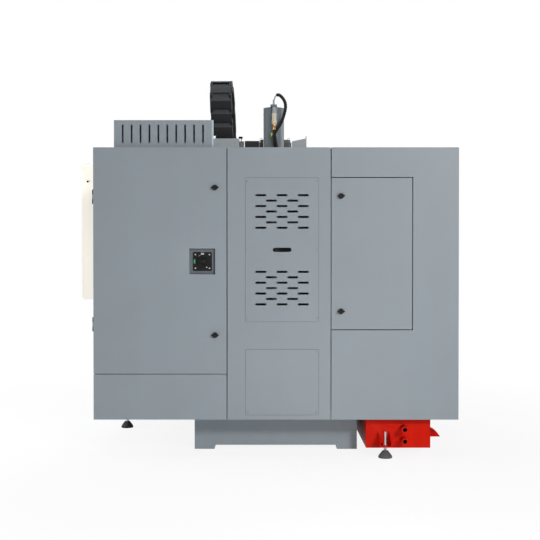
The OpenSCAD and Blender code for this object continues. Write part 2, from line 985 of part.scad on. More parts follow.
module vent_panel() color(panel_grey) along_y(rear_y, rear_y + vent_plate_t) difference() {
    translate([vent_x, vent_z]) square([vent_w, vent_h], center = true);
    for (s = side_signs) translate([vent_x, vent_z + s * vent_group_dz]) vent_rows_2d();
    translate([vent_x, vent_z]) obround(hand_slot_l, hand_slot_w);
}

module lower_plate() color(panel_grey) along_y(rear_y, rear_y + vent_plate_t)
    translate([vent_x, lower_plate_z]) square([vent_w, lower_plate_h], center = true);

module left_rear_panel() color(panel_grey) {
    x1 = cover_x0 - seam_gap;
    difference() {
        block([-half_w, rear_y - sheet, skirt_z], [x1, rear_y, roof_z]);
        block([access_x0 - access_gap, rear_y - sheet - over, access_z - access_gap],
              [x1 + over, rear_y + over, access_z + access_h + access_gap]);
        block([-half_w - over, rear_y - sheet - over, roof_z - corner_notch_h],
              [-half_w + corner_notch_w, rear_y + over, roof_z + over]);
    }
    block([-half_w + sheet, roof_front_y, roof_z - sheet], [x1, rear_y - sheet, roof_z]);
    block([x1, roof_front_y, roof_z - sheet], [-roof_right_x0, column_y1 - lip_w, roof_z]);
    for (z = [access_z - access_gap - sheet, access_z + access_h + access_gap]) difference() {
        block([access_x0 - access_gap - lug_w / 2, rear_y - sheet - lug_d, z],
              [access_x0 - access_gap + lug_w, rear_y - sheet, z + sheet]);
        rod_z(pivot_r + run, pivot_x, pivot_y, z - over, z + sheet + over);
    }
}

module service_box() color(pale_grey) difference() {
    block([service_x0, service_y0, service_z0], [service_x1, lip_y, service_z1]);
    block([service_x0 + sheet, service_y0 + sheet, service_z0 + sheet],
          [service_x1 - sheet, lip_y + over, service_z1 - sheet]);
}

module lube_unit() color(pale_grey) {
    y0 = service_y0 + sheet;
    z1 = lube_z + lube_tank_h;
    block([lube_x - lube_w / 2, y0, lube_z], [lube_x + lube_w / 2, y0 + lube_d, z1]);
    color(motor_grey)
        block([lube_x - lube_w / 2 - sheet, y0, z1],
              [lube_x + lube_w / 2 + sheet, y0 + lube_d + sheet, z1 + lube_pump_h]);
    rod_z(lube_cap_r, lube_x - lube_w / 4, y0 + lube_d / 2, z1 + lube_pump_h, z1 + lube_pump_h + lube_cap_h);
}

// Electrical cabinet

module cabinet_shell() color(panel_grey) difference() {
    block([cab_x0, cab_y0, cab_z0], [half_w, cab_y1, roof_z]);
    block([cab_x0 + sheet, cab_y0 + sheet, cab_z0 + sheet],
          [half_w - sheet, cab_y1 - sheet, roof_z - sheet]);
    block([cab_x0 + cab_lip, cab_y1 - sheet - over, cab_z0 + cab_lip],
          [half_w - cab_lip, cab_y1 + over, roof_z - cab_lip]);
}

module cabinet_lower_panel() color(panel_grey) {
    z1 = door_split_z - sheet / 2;
    block([cab_x0, rear_y - sheet, skirt_z], [half_w, rear_y, z1]);
    block([cab_x0, rear_y - low_return, skirt_z], [cab_x0 + sheet, rear_y - sheet, z1]);
    block([half_w - sheet, cab_y0, skirt_z], [half_w, rear_y - sheet, z1]);
    block([cab_x0 + sheet, cab_y0, z1 - sheet], [half_w - sheet, rear_y - sheet, z1]);
    for (x = [cab_x0 + sheet, half_w - 2 * sheet])
        block([x, cab_y0, z1], [x + sheet, cab_y1, cab_z0]);
}

module cabinet_hinges() color(black) for (z = hinge_zs) {
    z0 = z - hinge_h / 2;
    z1 = z + hinge_h / 2;
    eye_z0 = z0 + hinge_h * hinge_eye_shares[0];
    eye_z1 = z0 + hinge_h * hinge_eye_shares[1];
    block([half_w, cab_y1 - hinge_leaf_l, z0], [half_w + hinge_leaf_t, cab_y1, z1]);
    for (part = [[z0, eye_z0 - clear], [eye_z1 + clear, z1]]) {
        rod_z(hinge_r, hinge_x, hinge_y, part[0], part[1]);
        block([half_w + clear, cab_y1, part[0]], [half_w + hinge_leaf_t, hinge_y, part[1]]);
    }
    rod_z(hinge_pin_r, hinge_x, hinge_y, z0, z1);
}

module drive_plate() color(pale_grey) {
    y0 = cab_y0 + sheet;
    y1 = y0 + sheet;
    x0 = cab_x0 + mount_margin;
    x1 = half_w - mount_margin;
    z0 = cab_z0 + mount_margin;
    z1 = roof_z - mount_margin;
    block([x0, y0, z0], [x1, y1, z1]);
    step = module_w + module_gap;
    for (i = [0 : module_count - 1])
        block([x0 + module_gap + i * step, y1, z1 - module_gap - module_h],
              [x0 + module_gap + i * step + module_w, y1 + module_d, z1 - module_gap]);
    duct_z = z1 - 2 * module_gap - module_h - duct_h;
    for (z = [duct_z, z0 + module_gap])
        block([x0 + module_gap, y1, z], [x1 - module_gap, y1 + duct_d, z + duct_h]);
    contactor_z = duct_z - module_gap - contactor_h;
    contactor_step = contactor_w + module_gap / 2;
    for (i = [0 : contactor_count - 1])
        translate([x0 + module_gap + i * contactor_step, y1, contactor_z])
            cube([contactor_w, contactor_d, contactor_h]);
}

module switch_pocket_solid() {
    half = switch_pocket / 2;
    block([switch_x - half - sheet, cab_door_y0, switch_z - half - sheet],
          [switch_x + half + sheet, rear_y - sheet / 2, switch_z + half + sheet]);
}

module cabinet_door() color(panel_grey) {
    half = switch_pocket / 2;
    difference() {
        union() {
            door_pan([cab_x0, cab_door_y0, cab_z0], [cab_door_x1, rear_y, roof_z]);
            switch_pocket_solid();
        }
        block([switch_x - half, cab_door_y0 + sheet, switch_z - half],
              [switch_x + half, rear_y + over, switch_z + half]);
        rod_y(switch_neck_r + clear, switch_x, cab_door_y0 - over, cab_door_y0 + sheet + over, switch_z);
        for (z = cab_lock_zs) rod_y(lock_shaft_r + run, cab_lock_x, rear_y - sheet - over, rear_y + over, z);
    }
    for (z = hinge_zs) {
        z0 = z - hinge_h / 2 + hinge_h * hinge_eye_shares[0];
        z1 = z - hinge_h / 2 + hinge_h * hinge_eye_shares[1];
        difference() {
            union() {
                rod_z(hinge_r, hinge_x, hinge_y, z0, z1);
                block([cab_door_x1 - sheet / 2, hinge_y, z0], [half_w + hinge_leaf_t, rear_y - sheet, z1]);
            }
            rod_z(hinge_pin_r + run, hinge_x, hinge_y, z0 - over, z1 + over);
        }
    }
}

module main_switch_base() color(black) difference() {
    y0 = cab_door_y0 + sheet;
    union() {
        translate([switch_x, 0, switch_z]) along_y(y0, y0 + switch_plate_t)
            rounded_rect(switch_plate, switch_plate, switch_corner_r);
        rod_y(switch_neck_r, switch_x, cab_door_y0, y0, switch_z);
        block([switch_x - switch_body_w / 2, cab_door_y0 - switch_body_d, switch_z - switch_body_w / 2],
              [switch_x + switch_body_w / 2, cab_door_y0, switch_z + switch_body_w / 2]);
    }
    rod_y(switch_shaft_r + run, switch_x, y0 + switch_plate_t - switch_shaft_l,
          y0 + switch_plate_t + over, switch_z);
}

module main_switch_handle() color(black) {
    y0 = cab_door_y0 + sheet + switch_plate_t;
    rod_y(switch_shaft_r, switch_x, y0 - switch_shaft_l + over, y0 + clear, switch_z);
    rod_y(switch_knob_r, switch_x, y0 + clear, y0 + clear + switch_knob_t, switch_z);
    translate([switch_x, 0, switch_z])
        along_y(y0 + clear + switch_knob_t, y0 + clear + switch_knob_t + switch_grip_h)
            obround(2 * switch_knob_r - switch_grip_w / 2, switch_grip_w);
}

// Quarter-turn lock: wing knob outside, shaft through the skin, cam hanging inside
module wing_lock(x, z) {
    y0 = rear_y + clear;
    flat = lock_wing_l * lock_flat_share / 2;
    rod_y(lock_shaft_r, x, rear_y - cam_setback - cam_t, y0, z);
    rod_y(lock_disc_r, x, y0, y0 + lock_disc_t, z);
    translate([x, 0, z]) along_y(y0 + lock_disc_t, y0 + lock_disc_t + lock_wing_t)
        polygon([[-lock_wing_l / 2, 0], [-flat, -lock_wing_w / 2], [flat, -lock_wing_w / 2],
                 [lock_wing_l / 2, 0], [flat, lock_wing_w / 2], [-flat, lock_wing_w / 2]]);
    block([x - cam_w / 2, rear_y - cam_setback - cam_t, z - cam_l],
          [x + cam_w / 2, rear_y - cam_setback, z + cam_w / 2]);
}

module cabinet_lock_upper() color(black) wing_lock(cab_lock_x, cab_lock_zs[1]);

module cabinet_lock_lower() color(black) wing_lock(cab_lock_x, cab_lock_zs[0]);

module access_lock_upper() color(black) wing_lock(access_lock_x, access_lock_zs[1]);

module access_lock_lower() color(black) wing_lock(access_lock_x, access_lock_zs[0]);

module access_door() color(panel_grey) {
    z1 = access_z + access_h;
    difference() {
        door_pan([access_x0, rear_y - access_t, access_z], [access_x1, rear_y, z1]);
        for (z = access_lock_zs)
            rod_y(lock_shaft_r + run, access_lock_x, rear_y - sheet - over, rear_y + over, z);
    }
    for (z = [access_z - pivot_l, z1 - sheet / 2])
        rod_z(pivot_r, pivot_x, pivot_y, z, z + pivot_l + sheet / 2);
}

// Roof fittings

module resistor_box() color(panel_grey) {
    x1 = resistor_x0 + resistor_w;
    y0 = resistor_y1 - resistor_d;
    z0 = roof_z + resistor_foot_h;
    z1 = z0 + resistor_h;
    mid_x = resistor_x0 + resistor_w / 2;
    difference() {
        block([resistor_x0, y0, z0], [x1, resistor_y1, z1]);
        block([resistor_x0 + resistor_wall, y0 + resistor_wall, z0 + resistor_wall],
              [x1 - resistor_wall, resistor_y1 - resistor_wall, z1 - resistor_wall]);
        for (i = [0 : resistor_slots - 1]) {
            x = mid_x + (i - (resistor_slots - 1) / 2) * resistor_slot_step;
            translate([x - resistor_slot_w / 2, y0 - over, z0 + (resistor_h - resistor_slot_h) / 2])
                cube([resistor_slot_w, resistor_d + 2 * over, resistor_slot_h]);
        }
    }
    block([resistor_x0 - resistor_flange_w, resistor_y1 - resistor_wall, roof_z],
          [resistor_x0, resistor_y1, z1]);
    for (x = [resistor_x0, x1 - resistor_foot_w], y = [y0, resistor_y1 - resistor_foot_w])
        block([x, y, roof_z], [x + resistor_foot_w, y + resistor_foot_w, z0]);
}

// Place and heading along the chain: up the rear leg, over the bend, down the front leg
function chain_place(s) =
    s < chain_rear_l ? [chain_y + chain_mid_r, chain_rear_z + s, 0] :
    s < chain_rear_l + chain_bend_l ?
        let (a = (s - chain_rear_l) / chain_mid_r * 180 / PI)
        [chain_y + chain_mid_r * cos(a), chain_z + chain_mid_r * sin(a), a] :
    [chain_y - chain_mid_r, chain_z - (s - chain_rear_l - chain_bend_l), 180];

// One link: two side plates with round ends and two cross bars
module chain_link(inset) {
    plate_l = chain_pitch + chain_t / 2;
    for (s = side_signs) {
        x0 = s < 0 ? inset : chain_w - inset - chain_plate_t;
        along_x(x0, x0 + chain_plate_t) rotate(90) obround(plate_l, chain_t * chain_bar_share);
    }
    bar_l = chain_pitch * chain_bar_share;
    block([inset, -chain_t / 2, -bar_l / 2], [chain_w - inset, -chain_t / 2 + chain_bar_t, bar_l / 2]);
    lid_l = chain_pitch * chain_lid_share;
    y1 = chain_t / 2;
    along_x(inset, chain_w - inset)
        polygon([[y1 - chain_bar_t, -lid_l / 2], [y1, -lid_l / 2], [y1, 0], [y1 - chain_lid_drop, lid_l / 2],
                 [y1 - chain_lid_drop - chain_bar_t, lid_l / 2], [y1 - chain_bar_t, 0]]);
    for (x = [inset, chain_w - inset - chain_plate_t])
        block([x, -chain_t / 2, -bar_l / 2], [x + chain_plate_t, chain_t / 2, bar_l / 2]);
}

module energy_chain() color(black)
    translate([chain_x0, chain_y, 0]) rotate([0, 0, chain_lean_deg]) translate([0, -chain_y, 0])
        for (i = [0 : chain_links - 1]) {
            p = chain_place((i + 0.5) * chain_pitch);
            translate([0, p[0], p[1]]) rotate([p[2], 0, 0])
                chain_link(i % 2 == 0 ? 0 : chain_inner_step);
        }

module roof_brackets() color(pale_grey) {
    difference() {
        top = chain_rear_z - chain_end;
        block([bracket_x0, bracket_y1 - bracket_d, roof_z], [bracket_x1, bracket_y1, top]);
        block([bracket_x0 + sheet, bracket_y1 - bracket_d - over, roof_z - over],
              [bracket_x1 - sheet, bracket_y1 - sheet, top - sheet]);
    }
    block([bracket_x0 - stop_gap - stop_block_w, bracket_y1 - stop_block_d, column_z1],
          [bracket_x0 - stop_gap, bracket_y1, column_z1 + stop_block_h]);
    along_y(hose_y0, hose_y0 + hose_d)
        polygon([[hose_x0, column_z1], [hose_x1, column_z1], [hose_x1, column_z1 + hose_h0],
                 [hose_x0, column_z1 + hose_h1]]);
    block([hose_x0 - sheet, hose_y0, column_z1], [hose_x0, hose_y0 + hose_d, column_z1 + hose_flange_h]);
}

// Side panels, front sheets and guards

// Side panel folded in at the top, as the roof, and at the bottom, for the feet
module side_panel(y1) {
    block([half_w - sheet, front_y + sheet, skirt_z], [half_w, y1, roof_z]);
    block([guard_x + sheet, front_y + sheet, roof_z - sheet], [half_w - sheet, roof_front_y, roof_z]);
    block([half_w - flange_w, front_y + sheet, skirt_z], [half_w - sheet, column_y0, skirt_z + sheet]);
}

module side_panel_right() color(panel_grey) {
    side_panel(cab_y0);
    block([cab_x0, roof_front_y, roof_z - sheet], [half_w - sheet, cab_y0, roof_z]);
    block([roof_right_x0, roof_front_y, roof_z - sheet], [cab_x0 + over, column_y1 - lip_w, roof_z]);
}

module side_panel_left() color(panel_grey) mirror([1, 0, 0]) side_panel(rear_y - sheet);

module front_tracks() {
    z0 = track_z;
    block([-half_w, front_y - track_d, z0], [half_w, front_y, z0 + track_t]);
    block([-half_w, front_y - track_d, z0], [half_w, front_y - track_d + track_t, z0 + track_rim_h]);
    g0 = front_door_z0 - guide_drop;
    block([-half_w, front_y - track_d, g0 - guide_lip], [half_w, front_y, g0]);
    mid_y = (front_door_y0 + front_door_y1) / 2;
    for (s = side_signs) {
        y = mid_y + s * (tongue_t / 2 + clear + guide_lip / 2);
        block([-half_w, y - guide_lip / 2, g0 - guide_lip / 2], [half_w, y + guide_lip / 2, g0 + guide_h]);
    }
}

module front_fascia() color(panel_grey) {
    difference() {
        block([-half_w, front_y, skirt_z], [half_w, front_y + sheet, hood_z]);
        block([-opening_half_w, front_y - over, opening_z0],
              [opening_half_w, front_y + sheet + over, opening_z1]);
    }
    difference() {
        block([-opening_half_w - sheet, front_y + sheet, opening_z0 - sheet],
              [opening_half_w + sheet, front_y + sheet + frame_d, opening_z1 + sheet]);
        block([-opening_half_w, front_y, opening_z0],
              [opening_half_w, front_y + sheet + frame_d + over, opening_z1]);
    }
    front_tracks();
}

module front_hood() color(panel_grey) {
    y0 = front_y + sheet;
    along_x(-half_w + sheet, half_w - sheet)
        polygon([[y0, hood_z], [hood_y0, hood_z], [hood_y1, roof_z + sheet], [hood_y1, roof_z],
                 [hood_y0, hood_z - sheet], [y0, hood_z - sheet]]);
    for (x = [-half_w, half_w - sheet]) along_x(x, x + sheet)
        polygon([[y0, roof_z], [y0, hood_z], [hood_y0, hood_z], [hood_y1, roof_z + sheet],
                 [hood_y1, roof_z]]);
}

module guard_half() {
    block([guard_x, front_y + sheet, guard_z0], [guard_x + sheet, guard_y1, roof_z - sheet]);
    block([column_w / 2, guard_y1 - sheet, guard_z0], [guard_x, guard_y1, roof_z - sheet]);
    x0 = base_w / 2;
    mid = (x0 + guard_x) / 2;
    z0 = guard_z0 - gutter_rim;
    along_y(front_y + sheet, guard_y1)
        polygon([[x0, z0], [mid, guard_z0 - gutter_dip], [guard_x + sheet, guard_z0],
                 [guard_x + sheet, guard_z0 - gutter_t], [mid, guard_z0 - gutter_dip - gutter_t],
                 [x0, z0 - gutter_t]]);
}

module inner_guards() color(pale_grey) {
    guard_half();
    mirror([1, 0, 0]) guard_half();
    block([-base_w / 2, front_y + sheet, apron_z], [base_w / 2, -base_d / 2, apron_z + sheet]);
}

// Sliding front door with its window opening, hangers, guide tongue and handle
module front_door() {
    x0 = door_gap / 2;
    x1 = x0 + front_door_w;
    difference() {
        mirror([0, 1, 0]) door_pan([x0, -front_door_y1, front_door_z0], [x1, -front_door_y0, front_door_z1]);
        block([x0 + window_inset_x, front_door_y0 - over, window_z0],
              [x1 - window_inset_x, front_door_y1 + over, window_z1]);
    }
    for (x = [x0 + wheel_inset, x1 - wheel_inset]) {
        axle_z = track_z + track_rim_h + clear + wheel_r;
        block([x - hanger_w / 2, front_door_y0, front_door_z1 - sheet],
              [x + hanger_w / 2, front_door_y0 + hanger_t, axle_z + wheel_r / 2]);
        rod_y(wheel_r, x, front_door_y0 + hanger_t / 2, front_y - track_d + track_t + wheel_t / 2, axle_z);
    }
    mid_y = (front_door_y0 + front_door_y1) / 2;
    block([x0, mid_y - tongue_t / 2, front_door_z0 - guide_drop + clear],
          [x1, mid_y + tongue_t / 2, front_door_z0 + sheet / 2]);
    y0 = front_door_y0 - handle_stand;
    rod_z(handle_r, x0 + handle_x, y0, handle_z, handle_z + handle_l);
    for (z = [handle_z + handle_r, handle_z + handle_l - handle_r])
        rod_y(handle_r * handle_stem_share, x0 + handle_x, y0, front_door_y0 + sheet / 2, z);
}

module front_door_right() color(panel_grey) front_door();

module front_door_left() color(panel_grey) mirror([1, 0, 0]) front_door();

module front_window() {
    x0 = door_gap / 2 + window_inset_x;
    x1 = door_gap / 2 + front_door_w - window_inset_x;
    block([x0 - window_lap, front_door_y0 + sheet, window_z0 - window_lap],
          [x1 + window_lap, front_door_y0 + sheet + window_t, window_z1 + window_lap]);
}

module front_window_right() color(glass_tint) front_window();

module front_window_left() color(glass_tint) mirror([1, 0, 0]) front_window();

// Feet and coolant tank

// Levelling foot turned from one outline, with a nut below the plate that it carries
module foot(x, y, h, r, seat, top) {
    translate([x, y, 0]) rotate_extrude()
        polygon([[0, 0], [pad_r, 0], [pad_r, pad_rim_h / 2], [pad_r * pad_top_share, pad_rim_h],
                 [pad_neck_r, h], [r, h], [r, top], [0, top]]);
    rod_z(r * nut_share, x, y, seat - nut_h, seat);
}

module levelling_feet() color(black) {
    for (s = side_signs, y = foot_ys) foot(s * foot_x, y, pad_h, stud_r, skirt_z, skirt_z);
    stud_top = bracket_plate_z + 2 * pad_h;
    foot(tank_foot_x, tank_y1 + tank_foot_reach, tank_pad_h, tank_stud_r, bracket_plate_z, stud_top);
    for (x = [tank_x0 + bracket_plate_w, tank_x1 - bracket_plate_w])
        foot(x, tank_y0 - tank_foot_reach, tank_pad_h, tank_stud_r, bracket_plate_z, stud_top);
}

// Foot bracket on a tank wall: bottom plate between two tapered gussets
module tank_bracket(x) {
    half = bracket_plate_w / 2;
    plate_top = bracket_plate_z + bracket_plate_t;
    difference() {
        block([x - half, -over / 2, bracket_plate_z], [x + half, bracket_plate_l, plate_top]);
        rod_z(tank_stud_r + clear, x, tank_foot_reach, bracket_plate_z - over, plate_top + over);
    }
    for (x0 = [x - half, x + half - bracket_plate_t]) along_x(x0, x0 + bracket_plate_t)
        polygon([[-over / 2, bracket_plate_z], [bracket_plate_l, bracket_plate_z],
                 [bracket_plate_l, bracket_plate_z + gusset_tip_h], [-over / 2, bracket_plate_z + gusset_h]]);
}

module tank_ports() {
    for (z = port_zs) difference() {
        rod_y(port_r + port_wall, port_x, tank_y1 - sheet / 2, tank_y1 + port_l, z);
        rod_y(port_r, port_x, tank_y1 - sheet - over, tank_y1 + port_l + over, z);
    }
}

module coolant_tank() color(tank_red) {
    difference() {
        block([tank_x0, tank_y0, tank_z], [tank_x1, tank_y1, tank_z1]);
        block([tank_x0 + sheet, tank_y0 + sheet, tank_z + sheet],
              [tank_x1 - sheet, tank_y1 - sheet, tank_z1 - sheet]);
        block([tank_x0 + tank_rim, tank_y0 + tank_rim, tank_z1 - 2 * sheet],
              [tank_x1 - tank_rim, tank_y1 - tank_rim, tank_z1 + over]);
        for (z = port_zs) rod_y(port_r, port_x, tank_y1 - sheet - over, tank_y1 + over, z);
    }
    tank_ports();
    translate([0, tank_y1, 0]) tank_bracket(tank_foot_x);
    translate([0, tank_y0, 0]) mirror([0, 1, 0]) {
        tank_bracket(tank_x0 + bracket_plate_w);
        tank_bracket(tank_x1 - bracket_plate_w);
    }
    along_y(lug_y - lug_l / 2, lug_y + lug_l / 2)
        polygon([[tank_x0 + sheet / 2, lug_z], [tank_x0 + sheet / 2, lug_z + lug_h],
                 [tank_x0 - lug_reach, lug_z + lug_tip_h], [tank_x0 - lug_reach, lug_z]]);
}

// Bellows

module z_bellows() color(black) {
    z0 = z_bottom + z_strip_t;
    l = head_plate_z0 - clear - z0;
    translate([-head_plate_w / 2, head_back_y - bellows_depth, z0]) rotate([90, 0, 90])
        linear_extrude(head_plate_w) mirror([1, -1]) zigzag_strip(z_folds, l, bellows_depth);
}

module y_bellows() color(black) {
    y0 = -base_d / 2 + way_cover_plate_t;
    l = saddle_y0 - clear - y0;
    translate([-way_cover_w / 2, y0, bed_z + stack_h + carriage_lift]) rotate([90, 0, 90])
        linear_extrude(way_cover_w) zigzag_strip(y_folds, l, y_bellows_depth);
}

// Saddle, table and head

module saddle() color(cast_grey) difference() {
    union() {
        difference() {
            block([-saddle_w / 2, saddle_y0, saddle_z0], [saddle_w / 2, saddle_y1, saddle_z1]);
            block([-saddle_w / 2 + x_boss_t, spindle_y - x_trough_w / 2, saddle_z1 - x_trough_d],
                  [saddle_w / 2 - x_boss_t, spindle_y + x_trough_w / 2, saddle_z1 + over]);
        }
        for (s = side_signs) {
            x = s * (saddle_w - x_boss_t) / 2;
            block([x - x_boss_t / 2, spindle_y - x_boss_w / 2, saddle_z0],
                  [x + x_boss_t / 2, spindle_y + x_boss_w / 2, saddle_z1 + x_boss_h]);
        }
        for (sx = side_signs, sy = side_signs) {
            x = sx * y_rail_x;
            y = spindle_y + sy * carriage_dy;
            block([x - carriage_w / 2, y - carriage_l / 2, bed_z + carriage_lift],
                  [x + carriage_w / 2, y + carriage_l / 2, saddle_z0]);
        }
        block([-y_nut_w / 2, spindle_y - y_nut_w / 2, saddle_z0 - y_nut_drop],
              [y_nut_w / 2, spindle_y + y_nut_w / 2, saddle_z0]);
    }
    for (s = side_signs) rail_space(y_rail_lo(s), y_rail_hi(s));
    rod_y(screw_r + run, 0, saddle_y0, saddle_y1, y_screw_z);
    rod_x(journal_r + run, -saddle_w / 2 - over, saddle_w / 2 + over, spindle_y, x_screw_z);
}

module x_rails() color(steel) for (s = side_signs) block(x_rail_lo(s), x_rail_hi(s));

// T-slot outline in Y and Z, open at the table's top
module tslot(y) {
    translate([y - tslot_w / 2, table_z1 - tslot_neck - over]) square([tslot_w, tslot_neck + 2 * over]);
    translate([y - tslot_foot_w / 2, table_z1 - tslot_neck - tslot_foot_h])
        square([tslot_foot_w, tslot_foot_h]);
}

module work_table() color(cast_grey) difference() {
    union() {
        along_x(-table_w / 2, table_w / 2) difference() {
            translate([spindle_y - table_d / 2, table_z0]) square([table_d, table_t]);
            for (i = [0 : tslot_count - 1]) tslot(spindle_y + (i - (tslot_count - 1) / 2) * tslot_step);
            for (y = [spindle_y - table_d / 2 - over, spindle_y + table_d / 2 - gutter_w])
                translate([y, table_z1 - gutter_d]) square([gutter_w + over, gutter_d + over]);
        }
        for (sx = side_signs, sy = side_signs) {
            x = sx * table_carriage_dx;
            y = spindle_y + sy * x_rail_dy;
            block([x - carriage_l / 2, y - carriage_w / 2 + carriage_lift, saddle_z1 + carriage_lift],
                  [x + carriage_l / 2, y + carriage_w / 2 - carriage_lift, table_z0]);
        }
        block([-x_nut_w / 2, spindle_y - x_nut_w / 2, table_z0 - x_nut_drop],
              [x_nut_w / 2, spindle_y + x_nut_w / 2, table_z0]);
    }
    for (s = side_signs) rail_space(x_rail_lo(s), x_rail_hi(s));
    rod_x(screw_r + run, -x_nut_w, x_nut_w, spindle_y, x_screw_z);
}

// Arm on the head that carries the moving end of the energy chain
module chain_arm() {
    z1 = head_plate_z0 + head_plate_h;
    x1 = chain_x0 + chain_w - sheet;
    y0 = chain_y - chain_r;
    shelf_z = chain_front_z - chain_end - clear;
    block([head_plate_w / 2 - sheet, head_back_y - head_plate_t, z1 - arm_t], [x1, head_back_y, z1]);
    block([chain_x0, y0 - sheet, z1 - arm_t], [x1, y0 + arm_shelf_t, shelf_z]);
    block([chain_x0, y0 - sheet, shelf_z - arm_shelf_t], [x1, y0 + chain_t, shelf_z]);
}

module head_casting() color(cast_grey) difference() {
    z1 = head_plate_z0 + head_plate_h;
    root_y = head_back_y - head_plate_t / 2;
    union() {
        block([-head_plate_w / 2, head_back_y - head_plate_t, head_plate_z0],
              [head_plate_w / 2, head_back_y, z1]);
        along_z(head_body_z0, head_body_z1) {
            translate([0, spindle_y]) circle(head_r);
            polygon([[-head_root_w / 2, root_y], [head_root_w / 2, root_y],
                     [head_r, spindle_y], [-head_r, spindle_y]]);
        }
        for (s = side_signs, i = [0, 1]) {
            z = head_plate_z0 + head_carriage_lift + i * head_carriage_dz;
            block([s * z_rail_x - carriage_w / 2, head_back_y - over, z],
                  [s * z_rail_x + carriage_w / 2, column_y0 - carriage_lift, z + head_carriage_h]);
        }
        nut_z = head_plate_z0 + head_plate_h / 2;
        block([z_screw_x - z_nut_w / 2, head_back_y - over, nut_z - z_nut_h / 2],
              [z_screw_x + z_nut_w / 2, head_back_y + z_nut_d, nut_z + z_nut_h / 2]);
        chain_arm();
    }
    rod_z(cartridge_r + run, 0, spindle_y, head_body_z0 - over, head_body_z1 + over);
    for (s = side_signs) rail_space(z_rail_lo(s), z_rail_hi(s));
    rod_z(screw_r + run, z_screw_x, z_screw_y, head_plate_z0 - over, z1 + over);
}

module spindle_motor() color(black) {
    z1 = head_body_z1 + spindle_motor_h;
    along_z(head_body_z1, z1) translate([0, spindle_y])
        rounded_rect(spindle_motor_w, spindle_motor_d, spindle_corner_r);
    along_z(z1, z1 + spindle_cap_h) translate([0, spindle_y])
        rounded_rect(spindle_motor_w - spindle_cap_inset, spindle_motor_d - spindle_cap_inset,
                     spindle_corner_r);
    block([spindle_motor_w / 2 - sheet, spindle_y - terminal_d / 2, z1 + spindle_cap_h - terminal_h],
          [spindle_motor_w / 2 + terminal_w, spindle_y + terminal_d / 2, z1 + spindle_cap_h]);
}

module spindle_cartridge() color(steel) translate([0, spindle_y, 0]) difference() {
    union() {
        rod_z(cartridge_r, 0, 0, head_body_z0 - over / 2, head_body_z1 - clear);
        rod_z(cartridge_flange_r, 0, 0, head_body_z0 - cartridge_flange_t, head_body_z0);
    }
    rod_z(cartridge_bore_r + run, 0, 0, head_body_z0 - cartridge_flange_t - over, head_body_z1);
}

module spindle() color(steel) translate([0, spindle_y, 0]) difference() {
    nose_top = head_body_z0 - cartridge_flange_t - clear;
    union() {
        rod_z(spindle_nose_r, 0, 0, nose_z, nose_top);
        rod_z(cartridge_bore_r, 0, 0, nose_top - over, head_body_z1 - 2 * clear);
        for (x = [-spindle_nose_r, spindle_nose_r - dog_w])
            translate([x, -dog_w / 2, nose_z - dog_h]) cube([dog_w, dog_w, dog_h + over]);
    }
    translate([0, 0, nose_z - dog_h]) cylinder(r = taper_r, h = dog_h);
    translate([0, 0, nose_z]) cylinder(r1 = taper_r, r2 = taper_r - taper_l * taper_share, h = taper_l);
    rod_z(drawbar_r, 0, 0, nose_z + taper_l - over, head_body_z1);
}

// Ball screws, each with thinner journals that run in the bearing bosses

module x_screw() color(steel) {
    x1 = saddle_w / 2 - x_boss_t - clear;
    rod_x(screw_r, -x1, x1, spindle_y, x_screw_z);
    rod_x(journal_r, -saddle_w / 2, saddle_w / 2 + motor_bore_l - clear, spindle_y, x_screw_z);
}

module y_screw() color(steel) {
    y0 = -base_d / 2 + boss_t + clear;
    y1 = y_boss_rear_y - y_boss_rear_t - clear;
    rod_y(screw_r, 0, y0, y1, y_screw_z);
    rod_y(journal_r, 0, -base_d / 2 - motor_bore_l + clear, y_boss_rear_y, y_screw_z);
}

module z_screw() color(steel) {
    z0 = z_bottom + z_boss_t + clear;
    z1 = column_z1 - z_boss_top_t - clear;
    rod_z(screw_r, z_screw_x, z_screw_y, z0, z1);
    rod_z(journal_r, z_screw_x, z_screw_y, z_bottom, z_bracket_top + motor_bore_l - clear);
}

// Operator console

module console_arm() color(panel_grey) {
    z0 = console_z1 + arm_gap;
    x1 = console_pivot_x + arm_w / 2;
    block([half_w, console_pivot_y - arm_flange_w / 2, z0],
          [half_w + arm_flange_t, console_pivot_y + arm_flange_w / 2, z0 + arm_flange_h]);
    block([half_w + arm_flange_t / 2, console_pivot_y - arm_w / 2, z0],
          [x1, console_pivot_y + arm_w / 2, z0 + arm_h]);
    rod_z(pivot_pin_r, console_pivot_x, console_pivot_y, console_z1 - pivot_pin_l, z0 + over);
}

module console() color(cream) difference() {
    union() {
        translate([console_mid_x, 0, (console_z0 + console_z1) / 2]) along_y(console_y0, console_y1)
            rounded_rect(console_w, console_h, console_corner_r);
        rod_z(thrust_r, console_pivot_x, console_pivot_y, console_z1 - console_corner_r,
              console_z1 + arm_gap - clear);
        for (i = [0 : key_cols - 1], j = [0 : key_rows - 1])
            translate([console_mid_x + (i - (key_cols - 1) / 2) * key_step_x - key_w / 2,
                       console_y0 - key_t, keypad_z0 + j * key_step_z])
                cube([key_w, key_t + over, key_h]);
    }
    rod_z(pivot_pin_r + run, console_pivot_x, console_pivot_y, console_z1 - pivot_pin_l - over,
          console_z1 + 2 * arm_gap);
    translate([console_mid_x, 0, screen_z]) along_y(console_y0 - over, console_y0 + screen_recess + screen_t)
        square([screen_w, screen_h], center = true);
    y0 = console_y0 - over;
    y1 = console_y0 + button_bore_l;
    rod_y(estop_stem_r + run, console_mid_x - control_dx, y0, console_y0 + estop_bore_l, control_z);
    for (s = side_signs) rod_y(button_r + run, console_mid_x + s * button_dx, y0, y1, button_z);
    rod_y(dial_shaft_r + run, console_mid_x + control_dx, y0, y1, control_z);
    rod_y(dial_shaft_r + run, console_mid_x, y0, y1, wheel_z);
}

